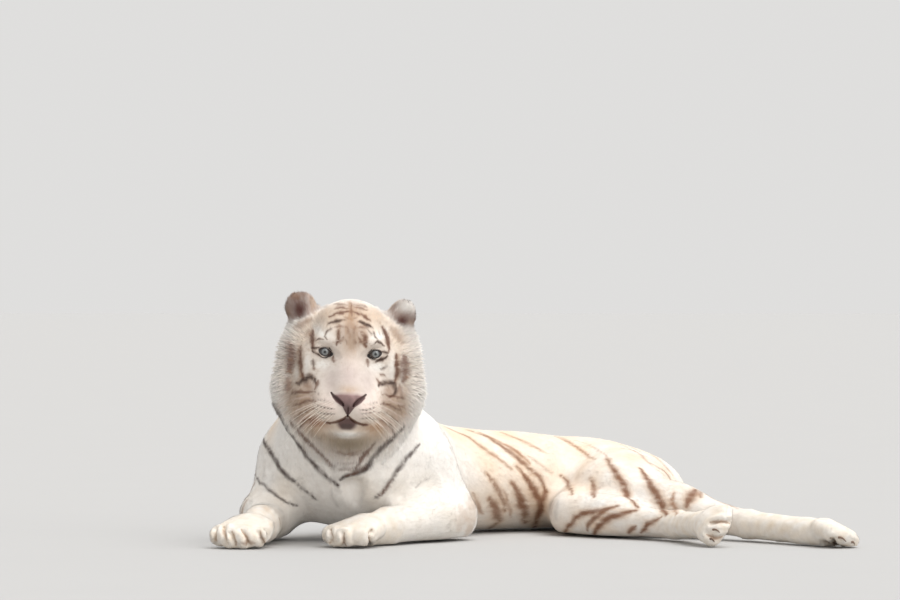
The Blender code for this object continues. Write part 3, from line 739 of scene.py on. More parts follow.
BODY_STRIPES = stripes(
    (((-670, -433, 305), (-637, -477, 270), (-613, -486, 234), (-594, -491, 213), (-567, -494, 189),
       (-546, -492, 167), (-519, -490, 152)), 17, SLATE, 0.97),
    (((-512, -497, 164), (-482, -503, 177), (-458, -506, 192), (-428, -501, 205)), 17, SLATE, 0.97),
    (((-500, -501, 171), (-476, -507, 186), (-446, -506, 199)), 14, UMBER, 0.7),
    (((-548, -510, 206), (-530, -512, 201)), 6, UMBER, 0.7),
    (((-521, -509, 192), (-494, -512, 196), (-466, -510, 196)), 7, UMBER, 0.75),
    (((-516, -542, 245), (-499, -532, 233), (-475, -528, 231), (-451, -527, 238)), 5, UMBER, 0.5),
    (((-736, -292, 275), (-713, -370, 241), (-690, -398, 209), (-668, -415, 179), (-637, -434, 155),
       (-606, -444, 132), (-585, -440, 109)), 15, SLATE, 0.95),
    (((-761, -274, 175), (-746, -333, 163), (-717, -388, 146), (-685, -419, 126), (-655, -421, 107),
       (-634, -406, 95)), 10, SLATE, 0.9),
    (((-302, -413, 261), (-332, -441, 229), (-362, -460, 190), (-383, -464, 160), (-398, -465, 139),
       (-420, -461, 116)), 15, SLATE, 0.95),
    (((-377, -462, 166), (-395, -463, 139), (-417, -461, 117)), 13, UMBER, 0.7),
    (((-260, -401, 181), (-296, -416, 161), (-317, -425, 149)), 5, SLATE, 0.35),
    (((-530, -514, 205), (-531, -498, 174), (-516, -480, 130)), 26, SLATE, 0.18),
    (((-544, -482, 147), (-534, -463, 109), (-520, -446, 86)), 10, SLATE, 0.25),
    (((-181, 22, 290), (-155, 23, 281), (-129, 24, 272), (-105, 17, 256), (-81, 13, 240), (-61, 14, 224),
       (-41, 17, 208), (-21, 20, 190), (-0, 25, 172), (27, 32, 144), (32, 35, 113)), 16, RUSSET, 0.85),
    (((-248, -79, 306), (-224, -66, 294), (-200, -57, 284), (-176, -47, 273), (-148, -57, 251),
       (-120, -52, 229), (-81, -29, 201), (-58, -20, 179)), 13, RUST, 0.7),
    (((-149, 45, 284), (-119, 30, 270), (-89, 35, 255), (-67, 31, 242), (-45, 36, 229), (-27, 32, 211),
       (-8, 29, 193)), 13, RUST, 0.75),
    (((-94, 128, 281), (-63, 101, 270), (-33, 93, 258), (-1, 84, 241), (30, 83, 224)), 10, RUST, 0.65),
    (((-17, 43, 217), (16, 44, 193), (48, 52, 164)), 9, TAN, 0.6),
    (((-130, -103, 174), (-107, -84, 148), (-90, -59, 113), (-81, -31, 78),
       (-77, -11, 56)), 14, RUSSET, 0.75),
    (((-163, -143, 113), (-150, -107, 84), (-140, -60, 49)), 12, RUST, 0.6),
    (((-120, -82, 98), (-103, -39, 64), (-94, 21, 25)), 26, RUSSET, 0.85),
    (((-58, -29, 142), (-41, -11, 111), (-28, 19, 69), (-25, 73, 18)), 27, RUSSET, 0.92),
    (((-45, -3, 188), (-29, 2, 167), (-13, 10, 147), (4, 20, 109), (19, 36, 83), (11, 55, 48), (5, 83, 22),
       (-2, 118, 1)), 19, RUSSET, 0.95),
    (((30, 34, 125), (25, 33, 85), (9, 57, 45)), 17, RUSSET, 0.9),
    (((-80, -49, 121), (-66, -13, 71), (-63, 26, 37)), 10, RUST, 0.5),
    (((72, 61, 159), (87, 44, 142), (100, -126, 121)), 14, RUSSET, 0.85),
    (((147, -56, 161), (156, -88, 137), (159, -191, 115)), 16, RUSSET, 0.8),
    (((192, 6, 215), (206, -58, 196), (227, -116, 165), (245, -146, 129), (259, -227, 111),
       (273, -283, 93)), 17, RUSSET, 0.95),
    (((291, -72, 190), (305, -127, 163), (317, -196, 133), (335, -233, 97),
       (347, -374, 76)), 20, RUSSET, 0.95),
    (((371, -234, 126), (366, -250, 95), (374, -410, 78)), 16, RUST, 0.8),
    (((437, -215, 138), (415, -257, 115), (403, -270, 91)), 26, RUSSET, 0.9),
    (((449, -215, 132), (443, -260, 119)), 12, RUSSET, 0.6),
    (((465, -221, 124), (504, -266, 106), (538, -335, 94)), 9, RUST, 0.6),
    (((57, 223, 267), (81, 180, 256), (105, 169, 245), (134, 135, 226), (162, 27, 210)), 9, RUST, 0.6),
    (((114, 207, 257), (138, 187, 249), (162, 164, 241), (185, 68, 226), (208, -18, 212)), 8, TAN, 0.5),
    (((245, 222, 243), (268, 183, 232), (291, 116, 222), (309, 24, 206), (329, 3, 187),
       (362, 32, 165)), 12, RUST, 0.45),
    (((223, -264, 93), (194, -257, 86), (165, -238, 78), (141, -220, 70), (116, -197, 61), (91, -168, 36),
       (80, -120, 0)), 14, RUSSET, 0.95),
    (((192, -258, 82), (151, -233, 55), (135, -196, 17)), 13, RUSSET, 0.85),
    (((270, -295, 82), (246, -290, 76), (222, -280, 69), (182, -255, 49), (162, -230, 24),
       (156, -195, 1)), 17, RUSSET, 0.95),
    (((264, -304, 36), (248, -274, 12)), 13, RUSSET, 0.9),
    (((332, -361, 66), (298, -337, 46), (280, -301, 15)), 13, RUSSET, 0.95),
    (((41, -78, 98), (38, -115, 60)), 34, CLAY, 0.35), (((-99, 12, 27), (-125, 59, 0)), 18, RUSSET, 0.7),
    (((60, 234, 268), (107, 173, 246), (146, 107, 217)), 8, RUST, 0.5),
    (((269, 272, 236), (300, 215, 220)), 12, RUST, 0.45),
    (((334, 290, 209), (365, 251, 183), (393, 245, 149)), 13, RUST, 0.45),
    (((-162, -316, 119), (-166, -362, 71), (-173, -345, 16)), 60, FAWN, 0.5),
    (((-192, -390, 90), (-196, -392, 30)), 60, FAWN, 0.35),
    (((-166, -315, 126), (-147, -319, 88)), 9, RUSSET, 0.35),
    (((58, -128, 97), (50, -133, 43)), 20, GREY, 0.35),
    (((-667, -547, 71), (-663, -540, 50)), 10, CLAY, 0.55),
    (((-720, -520, 112), (-699, -570, 93)), 30, FAWN, 0.25),
    # Tan-brown low between the front toes: partly brownish hair, partly painted shadow near the floor.
    (((-758, -748, 17), (-726, -734, 16)), 16, CLAY, 0.6),
)
# Toe grooves, pressed into the skin; their colour is painted shade in them, partly brownish hair between toes.
TOE_CLEFTS = stripes(
    (((-832, -688, 59), (-831, -706, 34), (-830, -692, 7)), 5, CLAY, 0.5),
    (((-808, -692, 59), (-803, -738, 36), (-801, -730, 9)), 6, CLAY, 0.55),
    (((-791, -735, 47), (-784, -741, 36), (-776, -743, 22), (-773, -734, 8)), 6, CLAY, 0.65),
    (((-758, -735, 56), (-749, -747, 38), (-742, -744, 20), (-739, -738, 6)), 6, CLAY, 0.7),
    (((-716, -733, 48), (-707, -739, 28), (-702, -728, 8)), 6, CLAY, 0.7),
    (((-535, -668, 50), (-538, -690, 34), (-537, -690, 18), (-534, -682, 5)), 5, CLAY, 0.6),
    (((-501, -706, 43), (-496, -711, 27), (-497, -688, 0)), 5, UMBER, 0.8),
    (((-422, -696, 48), (-431, -713, 31), (-436, -614, 0)), 6, CLAY, 0.7),
    (((455, -632, 65), (478, -648, 70), (510, -637, 65), (512, -634, 67)), 7, CLAY, 0.7),
    (((445, -634, 41), (465, -648, 27), (482, -639, 20), (492, -637, 27)), 7, CLAY, 0.75),
    (((755, -614, 13), (767, -606, 6), (774, -595, 1)), 6, UMBER, 0.7),
    (((771, -671, 23), (784, -615, 10), (789, -591, 1)), 7, UMBER, 0.8),
)
CLAWS = (
    ((464, -650, 47), (478, -654, 41)), ((457, -646, 24), (466, -645, 17)), ((790, -677, 29), (806, -674, 20)),
    ((824, -662, 15), (832, -651, 10)),
)
SOFT_GROUPS = {
    "head": (("head",), 4),
    "mane": (("neck", "chest"), 20),
    "ear_left": (("ear_left",), 1),
    "ear_right": (("ear_right",), 1),
    "neck": (("neck",), 10),
    "flank": (("belly", "hips", *TAIL, "left_thigh", "right_thigh"), 50),
    "shank": (SHANKS, 40),
    "forearm": (FOREARMS, 40),
    "feet": (FEET, 40),
}


class Markings:
    """The tiger's colours: pale ground, warm tints, and stripes, for skin and coat alike."""

    GROUND = linear((0.970, 0.955, 0.935))
    FACE = linear((0.912, 0.870, 0.830))
    CREAM = linear((0.945, 0.860, 0.765))
    FEET = linear((0.945, 0.895, 0.825))
    NOSE = linear((0.585, 0.475, 0.465))
    RUFF = linear((0.860, 0.785, 0.705))
    LIP_EDGE = ((0, 11, 27, 45, 60, 75), (-159, -167, -175, -178, -173, -165))

    def __init__(self, joints: "Bones") -> None:
        """Keeps the lines that the hidden stripes are hung on."""
        self.joints = joints
        self.body: tuple[Stripe, ...] = ()

    def lay_on(self, points: Array) -> None:
        """Draws the body's stripes, and the painted shade along the toes' grooves, close over the skin."""
        tree = tree_of(points)
        # Tan and darker lines along the toes' grooves: painted shade, partly brownish hair between the toes.
        warm = tuple(replace(one, wide=13.0, ink=FAWN, strength=0.55) for one in TOE_CLEFTS)
        brown = [one.laid(tree) for one in BODY_STRIPES + self.joints.hidden_stripes]
        halos = tuple(
            replace(one, wide=2.1 * one.wide, ink=FLAX, strength=0.60 * one.strength)
            for one in brown
            if one.ink in (RUSSET, RUST)
        )
        self.body = halos + tuple(brown) + tuple(one.laid(tree) for one in warm + TOE_CLEFTS)

    def nose_cover(self, flat: Array) -> Array:
        """How much of each place of the face is nose leather."""
        edge = np.array(NOSE_EDGE) * MM
        inside = np.zeros(len(flat), bool)
        for start, end in zip(edge, np.roll(edge, -1, 0)):
            crosses = (start[1] > flat[:, 1]) != (end[1] > flat[:, 1])
            at = start[0] + (flat[:, 1] - start[1]) / (end[1] - start[1] + 1e-12) * (end[0] - start[0])
            inside ^= crosses & (flat[:, 0] < at)
        far, _ = distance_to_path(flat, np.vstack([edge, edge[:1]]))
        soft = (1.2 + 7.0 * ease(-0.112, -0.099, flat[:, 1])) * MM
        return ease(-0.8 * soft, soft, np.where(inside, far, -far))

    def ground(self, points: Array, local: Array, masks: dict[str, Array], streaks: Array) -> Array:
        """The colour under the stripes.

        Args:
            points: Places in the model.
            local: The same in the head's frame.
            masks: How far each place belongs to each group of solids.
            streaks: Fine streaks along the lie of the coat.

        Returns:
            Linear colours, one a row.
        """
        colour = np.tile(self.GROUND, (len(points), 1))
        mottle = waves(points, 0.11, 3)

        def tint(tone: Array, share: Array) -> None:
            """Lays a tone on, by a share that is first brought within 0 and 1."""
            draw_towards(colour, tone, np.clip(share, 0, 1))

        high = ease(0.20, 0.28, points[:, 2])
        tint(self.CREAM, masks["flank"] * (0.50 + 0.25 * mottle + 0.30 * high))
        tint(self.CREAM, masks["shank"] * (0.28 + 0.25 * waves(points, 0.06, 9)))
        tint(self.FEET, masks["feet"] * (0.50 + 0.30 * waves(points, 0.03, 5)))
        tint(self.CREAM, masks["mane"] * ease(0.12, 0.20, self.joints.behind(points)) * (0.75 + 0.25 * mottle))
        tint(self.FEET, masks["forearm"] * (0.25 + 0.2 * mottle))
        head = masks["head"]
        x, y, z = local.T
        radius = np.hypot(x / 0.2, (z + 0.06) / 0.2)
        tint(self.FACE, head * 0.85 * (1 - ease(0.80, 1.10, radius)))
        tint(self.RUFF, head * 0.50 * ease(0.55, 0.75, radius) * (1 - ease(0.84, 0.98, radius)))
        front = head * (1 - ease(0.07, 0.12, y))
        for spot in FACE_SPOTS:
            grained = 1 + 0.22 * streaks * (spot.ink in (TAN, FAWN, EARTH))
            tint(linear(spot.ink.value), front * spot.cover(local[:, [0, 2]]) * grained)
        return colour

    def ears(self, colour: Array, local: Array, masks: dict[str, Array], streaks: Array) -> None:
        """Brown ears with painted shade in each hollow and pale hairs, painted over colour in place."""
        flat = local[:, [0, 2]]
        both_ears = np.clip(masks["ear_left"] + masks["ear_right"], 0, 1)
        frayed = np.clip(0.92 + 0.14 * streaks, 0, 1.1)
        # The front of each ear's hollow, where its painted shade goes.
        inside = ease(0.128, 0.112, local[:, 1])
        for spot in EAR_SPOTS:
            share = spot.cover(flat) * both_ears * (inside if spot.ink is HOLLOW_SHADE else frayed)
            draw_towards(colour, linear(spot.ink.value), np.clip(share, 0, 1))
        back = ease(0.122, 0.140, local[:, 1]) * (1 - ease(0.125, 0.145, local[:, 2]))
        draw_towards(colour, self.RUFF, both_ears * back * 0.5)

    def colours(self, points: Array, masks: dict[str, Array], streaks: Array) -> Array:
        """The colour of skin or coat at each place.

        Args:
            points: Places in the model.
            masks: How far each place belongs to each group of solids.
            streaks: Fine streaks along the lie of the coat.

        Returns:
            Linear colours, one a row.
        """
        local = HEAD.local(points)
        colour = self.ground(points, local, masks, streaks)
        self.ears(colour, local, masks, streaks)
        ragged = 0.30 * waves(points, 0.030, 11) + 0.70 * streaks
        calm = np.zeros(len(points))
        head = np.clip(masks["head"] + masks["neck"], 0, 1)
        face = masks["head"] * (1 - ease(0.08, 0.12, local[:, 1]))
        warmth = np.clip(0.5 + 0.5 * waves(points, 0.05, 31), 0, 1)
        muzzle = np.exp(-((local[:, 0] / 0.075) ** 4) - ((local[:, 2] + 0.11) / 0.10) ** 4)
        brow = face * np.exp(-((local[:, 0] / 0.05) ** 2) - ((local[:, 2] - 0.055) / 0.045) ** 2)
        strength = 0.025 + 0.24 * face * (1 - 0.85 * muzzle) + 0.22 * brow
        drawn = np.clip(np.abs(streaks) - 0.45, 0, 2) * strength
        shade = 1 - np.outer(drawn * (streaks < 0) * warmth, (0.75, 1.0, 1.2))
        shade += 0.30 * (drawn * (streaks > 0))[:, None]
        colour *= np.clip(shade, 0.35, 1.12)

        def lay(stripe: Stripe, places: Array, mask: Array, rough: Array) -> None:
            """Draws one stripe."""
            draw_towards(colour, linear(stripe.ink.value), stripe.cover(places, rough) * mask)

        flat = local[:, [0, 2]]
        bent = flat + 0.0018 * np.stack([waves(points, 0.016, 41), waves(points, 0.016, 43)], 1)
        front = head * (1 - ease(0.105, 0.135, local[:, 1]))
        for stripe in FACE_STRIPES:
            if stripe.ink in (SOOT, UMBER):
                halo = replace(stripe, wide=stripe.wide * 1.5 + 3, ink=CLAY, strength=0.55 * stripe.strength)
                lay(halo, bent, front, ragged)
        for stripe in FACE_STRIPES + JAW_LINES:
            lay(replace(stripe, wide=stripe.wide * 1.18), bent, front, ragged)
        for stripe in COLLAR_LINES:
            lay(stripe, bent, head * (1 - ease(0.19, 0.23, local[:, 1])), ragged)
        dotted = front * (0.66 + 0.34 * np.sin(flat[:, 0] / 0.00145))
        for stripe in WHISKER_ROWS:
            lay(replace(stripe, wide=stripe.wide * 1.25), flat, dotted, 0.3 * ragged)
        lips = front * (local[:, 1] < -0.03)
        for stripe in (MOUTH, MOUTH_SHADE):
            lay(stripe, flat, lips * self.below_lip(flat), calm)
        for stripe in MOUTH_LINES:
            lay(stripe, flat, front, 0.3 * ragged)
        self.lid_shade(colour, local, masks["head"])
        nose = self.nose_cover(flat) * front * (local[:, 1] < -0.05)
        # Painted shade: the nose leather darker towards its lower edge.
        low = 0.55 * ease(-0.096, -0.150, flat[:, 1])
        tone = self.NOSE * (1 + 0.10 * waves(points, 0.02, 6) - low)[:, None]
        draw_towards(colour, tone, nose)
        # Painted shade in the nostrils and in the groove below the nose.
        for stripe in NOSTRILS + (SEPTUM,):
            lay(stripe, flat, front, calm)
        body = 1 - np.clip(masks["ear_left"] + masks["ear_right"], 0, 1)
        for stripe in self.body:
            lay(stripe, points, body, ragged)
        return np.clip(colour, 0.003, 0.95)

    def below_lip(self, flat: Array) -> Array:
        """One below the edge of the upper lip, and zero above it."""
        edge = np.interp(np.abs(flat[:, 0]) / MM, *self.LIP_EDGE) * MM
        return 1 - ease(-1.0 * MM, 1.5 * MM, flat[:, 1] - edge)

    def lid_shade(self, colour: Array, local: Array, head: Array) -> None:
        """Darkens the lids round each eye, most above it and at its inner corner, in place."""
        for side in (-1, 1):
            u, w = Almond.turned(local, side)
            reach = 1.20 + 0.10 * np.sign(w) + 0.12 * (u > 0)
            near = head * (local[:, 1] < 0.03) * (1 - ease(1.0, reach, Almond.measure(u, w)))
            draw_towards(colour, linear(SOOT.value), 0.92 * near)


class Almond:
    """The opening between the lids, its outer end the higher."""

    OUTER, INNER, ABOVE, BELOW = 0.0160, 0.0198, 0.0104, 0.0098
    TILT = math.radians(19)
    POWER = 1.85

    @classmethod
    def turned(cls, local: Array, side: int) -> tuple[Array, Array]:
        """Places seen from one eye: outwards along the opening, and up across it."""
        across, up = (local[:, 0] - side * HEAD.eye_reach) * side, local[:, 2]
        lean, rise = math.cos(cls.TILT), math.sin(cls.TILT)
        return across * lean + up * rise, up * lean - across * rise

    @classmethod
    def measure(cls, u: Array, w: Array) -> Array:
        """One on the edge of the opening, less inside it and more outside."""
        long = np.where(u > 0, cls.OUTER, cls.INNER)
        high = np.where(w > 0, cls.ABOVE, cls.BELOW)
        return (np.abs(u / long) ** cls.POWER + np.abs(w / high) ** cls.POWER) ** (1 / cls.POWER)

    @classmethod
    def edge(cls, turn: float) -> tuple[float, float]:
        """The place on the opening's edge at an angle."""
        c, s = math.cos(turn), math.sin(turn)
        long = cls.OUTER if c > 0 else cls.INNER
        high = cls.ABOVE if s > 0 else cls.BELOW
        power = 2 / cls.POWER
        return long * math.copysign(abs(c) ** power, c), high * math.copysign(abs(s) ** power, s)


# ---- bones that the coat and the hidden stripes follow ----
class Bones:
    """The lines from solid to solid that the coat lies along."""

    CHAINS = (("head", "neck", "chest", "belly", "hips", *TAIL), *LEGS)

    def __init__(self, skin_tree: KDTree, surface: Array) -> None:
        """Finds each solid's middle, and keeps the surface's places and what finds the nearest."""
        self.tree = skin_tree
        self.surface = surface
        self.middle = {name: np.array(middle_of(name)) for name in FLESH}

    def ways(self) -> dict[str, Array]:
        """Which way the coat lies on each solid."""
        found = {}
        for chain in self.CHAINS:
            for index, name in enumerate(chain):
                before = chain[max(index - 1, 0)]
                after = chain[min(index + 1, len(chain) - 1)]
                found[name] = unit(self.middle[after] - self.middle[before])
        found["neck"] = unit(np.array([0.05, 0.25, -1.0]))
        found["chest"] = unit(np.array([0.35, 0.45, -0.75]))
        return found

    @staticmethod
    def across(along: Array) -> Array:
        """Level and square to a direction, on the far side of the body."""
        side = unit(np.cross(along, UP))
        return -side if side[1] < 0 else side

    @cached_property
    def hidden_stripes(self) -> tuple[Stripe, ...]:
        """Stripes over the far side, the back of the head, the far legs and round the tail."""
        made = []
        pick = np.random.default_rng(7)
        spine = np.array([self.middle[name] for name in ("neck", "chest", "belly", "hips", "tail_base")])
        for share in np.concatenate([np.linspace(0.04, 0.24, 4), np.linspace(0.33, 0.95, 13)]):
            at = share * (len(spine) - 1)
            index = min(int(at), len(spine) - 2)
            centre = spine[index] + (at - index) * (spine[index + 1] - spine[index])
            along = unit(spine[index + 1] - spine[index])
            across = self.across(along)
            made.append(self.hoop(centre, along, across, (18, 150), pick, 0.30, 12))
            if pick.random() < 0.6:
                made.append(self.hoop(centre + along * 0.035, along, across, (75, 140), pick, 0.30, 9))
        limbs = (("right_upper_arm", "right_forearm", (88, 155)), ("left_thigh", "left_shank", (45, 120)))
        for name, after, turn in limbs:
            bone = self.middle[after] - self.middle[name]
            along = unit(bone)
            for share in (-0.3, -0.05, 0.2, 0.45, 0.7):
                centre = self.middle[name] + share * bone
                made.append(self.hoop(centre, along, self.across(along), turn, pick, 0.20, 11))
        for row in range(5):
            high = 0.105 - 0.036 * row
            for side in (-1, 1):
                steps = ((0.012, 0.17, 0), (0.055, 0.16, 0.012), (0.100, 0.12, 0.034))
                arc = HEAD.world(np.array([(side * x, y, high - down) for x, y, down in steps])) / MM
                made.append(Stripe(tuple(map(tuple, arc)), 10 - row % 2 * 2, RUSSET, 0.75))
        tail = np.array([self.middle[name] for name in ("hips", *TAIL)])
        for ring, (start, end) in enumerate(((0.5, 0.9), (0.9, 1.5), (1.5, 2.1), (2.1, 2.7), (2.7, 3.4))):
            for share in np.linspace(start, end, 3, endpoint=False):
                index = min(int(share), 2)
                centre = tail[index] + (share - index) * (tail[index + 1] - tail[index])
                near = self.surface[self.tree.find(Vector(centre))[1]]
                along = unit(tail[index + 1] - tail[index])
                across = unit(np.cross(along, UP))
                centre += (near - centre) * 0.2
                made.append(self.hoop(centre, along, across, (-95, 95), pick, 0.12, 13 + ring))
        return tuple(made)

    def behind(self, points: Array) -> Array:
        """How far each place is to the far side of the ridge from the neck to the belly."""
        along = self.middle["belly"] - self.middle["neck"]
        across = unit(np.array([-along[1], along[0], 0.0]))
        return (points - self.middle["neck"]) @ (across if across[1] > 0 else -across)

    def hoop(
        self,
        centre: Array,
        along: Array,
        across: Array,
        turn: tuple,
        pick: np.random.Generator,
        reach: float,
        wide: float,
    ) -> Stripe:
        """A stripe over one side of the body, from near the ridge downwards.

        Args:
            centre: A place inside the body.
            along: Which way the body runs there.
            across: The side the stripe is on.
            turn: Where it starts and ends, in degrees from straight up.
            pick: The random choices.
            reach: How far out the search starts.
            wide: The stripe's width in millimetres.

        Returns:
            The stripe, laid on the surface.
        """
        path = []
        lean, wobble = pick.uniform(-0.03, 0.03), pick.uniform(0.004, 0.012)
        for step, angle in enumerate(np.radians(np.linspace(*turn, 6))):
            out = across * math.sin(angle) + UP * math.cos(angle)
            place = centre + along * (lean * step / 5 + wobble * math.sin(step * 2.1))
            for far in np.linspace(reach, 0.01, 24):
                probe = place + out * far
                found, _, gap = self.tree.find(Vector(probe))
                if gap < reach / 20:
                    path.append(tuple(np.round(np.array(found) / MM, 1)))
                    break
        path = path if len(path) > 1 else [tuple(centre / MM), tuple(centre / MM + 1)]
        return Stripe(tuple(path), wide * pick.uniform(0.8, 1.2), RUSSET, 0.7)


# ---- the skin ----
@dataclass(frozen=True)
class Form:
    """A soft hollow of the face, or a hill where it goes forward: depth, middle and sizes."""

    back: float
    x: float
    z: float
    wide: float
    high: float

    def depth(self, x: Array, z: Array) -> Array:
        """How far back it moves each place."""
        return self.back * np.exp(-(((x - self.x) / self.wide) ** 2) - ((z - self.z) / self.high) ** 2)


@dataclass(frozen=True)
class Hair:
    """The coat over some solids: how deep it is, and how long and how raised its tufts are."""

    zones: tuple[str, ...]
    deep: float
    long: float
    lift: float

    @classmethod
    def sizes(cls, zones: Array, size: str) -> Array:
        """One of these sizes for each place, by the solid that it belongs to."""
        found = np.full(len(zones), getattr(COAT_HAIR[0], size))
        for hair in COAT_HAIR[1:]:
            found[np.isin(zones, hair.zones)] = getattr(hair, size)
        return found


COAT_HAIR = (
    Hair((), 0.0085, 0.0120, 0.17),
    Hair(("neck",), 0.0085, 0.0110, 0.19),
    Hair(("chest",), 0.0085, 0.0110, 0.17),
    Hair(("belly", "hips"), 0.0085, 0.0130, 0.20),
    Hair(FOREARMS + SHANKS, 0.0065, 0.0120, 0.22),
    Hair(FEET, 0.0038, 0.0085, 0.24),
    Hair(TAIL, 0.0070, 0.0160, 0.34),
    Hair(EARS, 0.0022, 0.0150, 0.42),
)


@dataclass
class Skin:
    """One closed skin inside the solids, with the face's folds worked into it."""

    FIRM: ClassVar[tuple[str, ...]] = ("head", *EARS, *FEET, "tail_tip")
    PADS: ClassVar[Form] = Form(-0.0055, 0.042, -0.146, 0.024, 0.018)
    FORMS: ClassVar[dict[str, Form]] = {
        "chin": Form(-0.0050, 0.0, -0.214, 0.030, 0.012),
        "brow": Form(-0.0035, 0.060, 0.030, 0.030, 0.010),
        "under_eye": Form(0.0022, 0.058, -0.025, 0.024, 0.005),
        "forehead_furrow": Form(0.0016, 0.0, 0.035, 0.010, 0.035),
    }

    grid: float = 0.0068
    join: float = 0.0007
    floor_room: float = 0.0012
    lid_thick: float = 0.0018
    most_faces: int = 194000
    nose_out: float = 0.0034
    nostril_deep: float = 0.0090
    septum_deep: float = 0.0032
    lip_line_deep: float = 0.0075
    mouth_deep: float = 0.0050
    philtrum_deep: float = 0.0025
    cleft_deep: float = 0.0072
    toe_swell: float = 0.0026
    piece: bpy.types.Object = field(init=False)

    def build(self) -> "Skin":
        """Makes the skin, from the rough joined form to the sculpted face."""
        self.piece = self.joined()
        step = self.piece.modifiers.new("grid", "REMESH")
        step.mode = "VOXEL"
        step.voxel_size = self.grid
        self.apply_steps()
        mesh = self.piece.data
        edges = edges_of(mesh)
        move_vertices(mesh, evened(vertices_of(mesh), edges, 5))
        soft = ~np.isin(ZONES.names(vertices_of(mesh)), self.FIRM)
        pull = evened(soft[:, None] * 0.5, edges, 4)[:, 0]
        move_vertices(mesh, evened(vertices_of(mesh), edges, 12, pull))
        for reach in (0, 1, 2):
            self.refine(reach)
        self.sink()
        self.sculpt()
        self.part_toes()
        return self

    def joined(self) -> bpy.types.Object:
        """All the flesh solids in one mesh, each grown a hair so that they overlap."""
        skin = bpy.data.meshes.new("skin")
        with reshaped(skin) as whole:
            for name in FLESH:
                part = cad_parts[name].data.copy()
                with reshaped(part) as one:
                    bmesh.ops.remove_doubles(one, verts=one.verts, dist=1e-5)
                    one.normal_update()
                    for vert in one.verts:
                        vert.co += vert.normal * self.join
                whole.from_mesh(part)
                bpy.data.meshes.remove(part)
        return placed("skin", skin)

    def apply_steps(self) -> None:
        """Turns the piece's modifiers into its mesh."""
        bpy.context.view_layer.update()
        shaped = self.piece.evaluated_get(bpy.context.evaluated_depsgraph_get())
        mesh = bpy.data.meshes.new_from_object(shaped)
        self.piece.modifiers.clear()
        self.piece.data = mesh

    def wants_more(self, points: Array, reach: int) -> Array:
        """Which places get finer faces: 0 the head and toes, 1 the face, 2 the eyes and nose."""
        local = HEAD.local(points)
        x, y, z = np.abs(local[:, 0]), local[:, 1], local[:, 2]
        if reach == 0:
            front = (y < 0.10) & (x < 0.16) & (z > -0.24) & (z < 0.14)
            ears = (x > 0.085) & (z > 0.065) & (y < 0.17)
            return front | ears | (gap_to(TOE_CLEFTS, points) < 0.026)
        face = (y < 0.0) & (x < 0.105) & (z > -0.215) & (z < 0.045)
        if reach == 1:
            return face
        eyes = (np.hypot(x - HEAD.eye_reach, z) < 0.033) & (y < 0.01)
        return eyes | ((x < 0.050) & (z > -0.185) & (z < -0.085) & (y < -0.07))

    def part_toes(self) -> None:
        """Presses a groove between each two toes."""
        mesh = self.piece.data
        points = vertices_of(mesh)
        tree = tree_of(points)
        gap = gap_to([one.laid(tree) for one in TOE_CLEFTS], points)
        press = self.cleft_deep * np.exp(-((gap / 0.0056) ** 2))
        press -= self.toe_swell * np.exp(-(((gap - 0.0150) / 0.0075) ** 2))
        points = points - normals_of(mesh) * press[:, None]
        points[:, 2] = np.maximum(points[:, 2], self.floor_room)
        move_vertices(mesh, points)

    def refine(self, reach: int) -> None:
        """Splits the faces of one part of the head and rounds the result."""
        mesh = self.piece.data
        fine = self.wants_more(vertices_of(mesh), reach)
        with reshaped(mesh) as shape:
            chosen = [edge for edge in shape.edges if all(fine[vert.index] for vert in edge.verts)]
            bmesh.ops.subdivide_edges(shape, edges=chosen, cuts=1, use_grid_fill=True)
        near = self.wants_more(vertices_of(mesh), reach) * 0.5
        move_vertices(mesh, evened(vertices_of(mesh), edges_of(mesh), 3, near))

    def thin(self) -> None:
        """Collapses the flattest faces down to the most a piece may have, and drops stray flaps."""
        step = self.piece.modifiers.new("thin", "DECIMATE")
        step.ratio = min(1.0, self.most_faces / len(triangles_of(self.piece.data)))
        self.apply_steps()
        with reshaped(self.piece.data) as shape:
            flaps = [face for face in shape.faces if any(len(edge.link_faces) == 1 for edge in face.edges)]
            bmesh.ops.delete(shape, geom=flaps, context="FACES")

    def depths(self, local: Array, zones: Array) -> Array:
        """How deep the coat is at each place."""
        x, y, z = local.T
        radius = np.hypot(x / 0.19, (z + 0.07) / 0.19)
        sides = ease(0.62, 0.95, radius) * ease(-0.01, 0.05, y) * ease(0.10, 0.02, z)
        ruff = 0.003 + 0.012 * sides * (0.5 + 0.5 * ease(-0.19, -0.10, z))
        return np.where(zones == "head", ruff, Hair.sizes(zones, "deep"))

    def sink(self) -> None:
        """Moves the skin in by the coat's depth, and off the floor."""
        mesh = self.piece.data
        points = vertices_of(mesh)
        zones = ZONES.names(points)
        deep = self.depths(HEAD.local(points), zones)[:, None]
        edges = edges_of(mesh)
        deep = evened(deep, edges, 12)
        ways = unit(evened(normals_of(mesh), edges, 6))
        points = points - ways * deep
        points[:, 2] = np.maximum(points[:, 2], self.floor_room)
        move_vertices(mesh, points)

    def sculpt(self) -> None:
        """Works the nose, mouth, whisker pads, chin, brow and lids into the face."""
        mesh = self.piece.data
        points = vertices_of(mesh)
        local = HEAD.local(points)
        zones = ZONES.names(points)
        face = (zones == "head") & (local[:, 1] < 0.06)
        place = local[face]
        place[:, 1] += self.relief(place)
        for side in (-1, 1):
            place = self.lids(place, side)
        local[face] = place
        points[face] = HEAD.world(place)
        move_vertices(mesh, points)

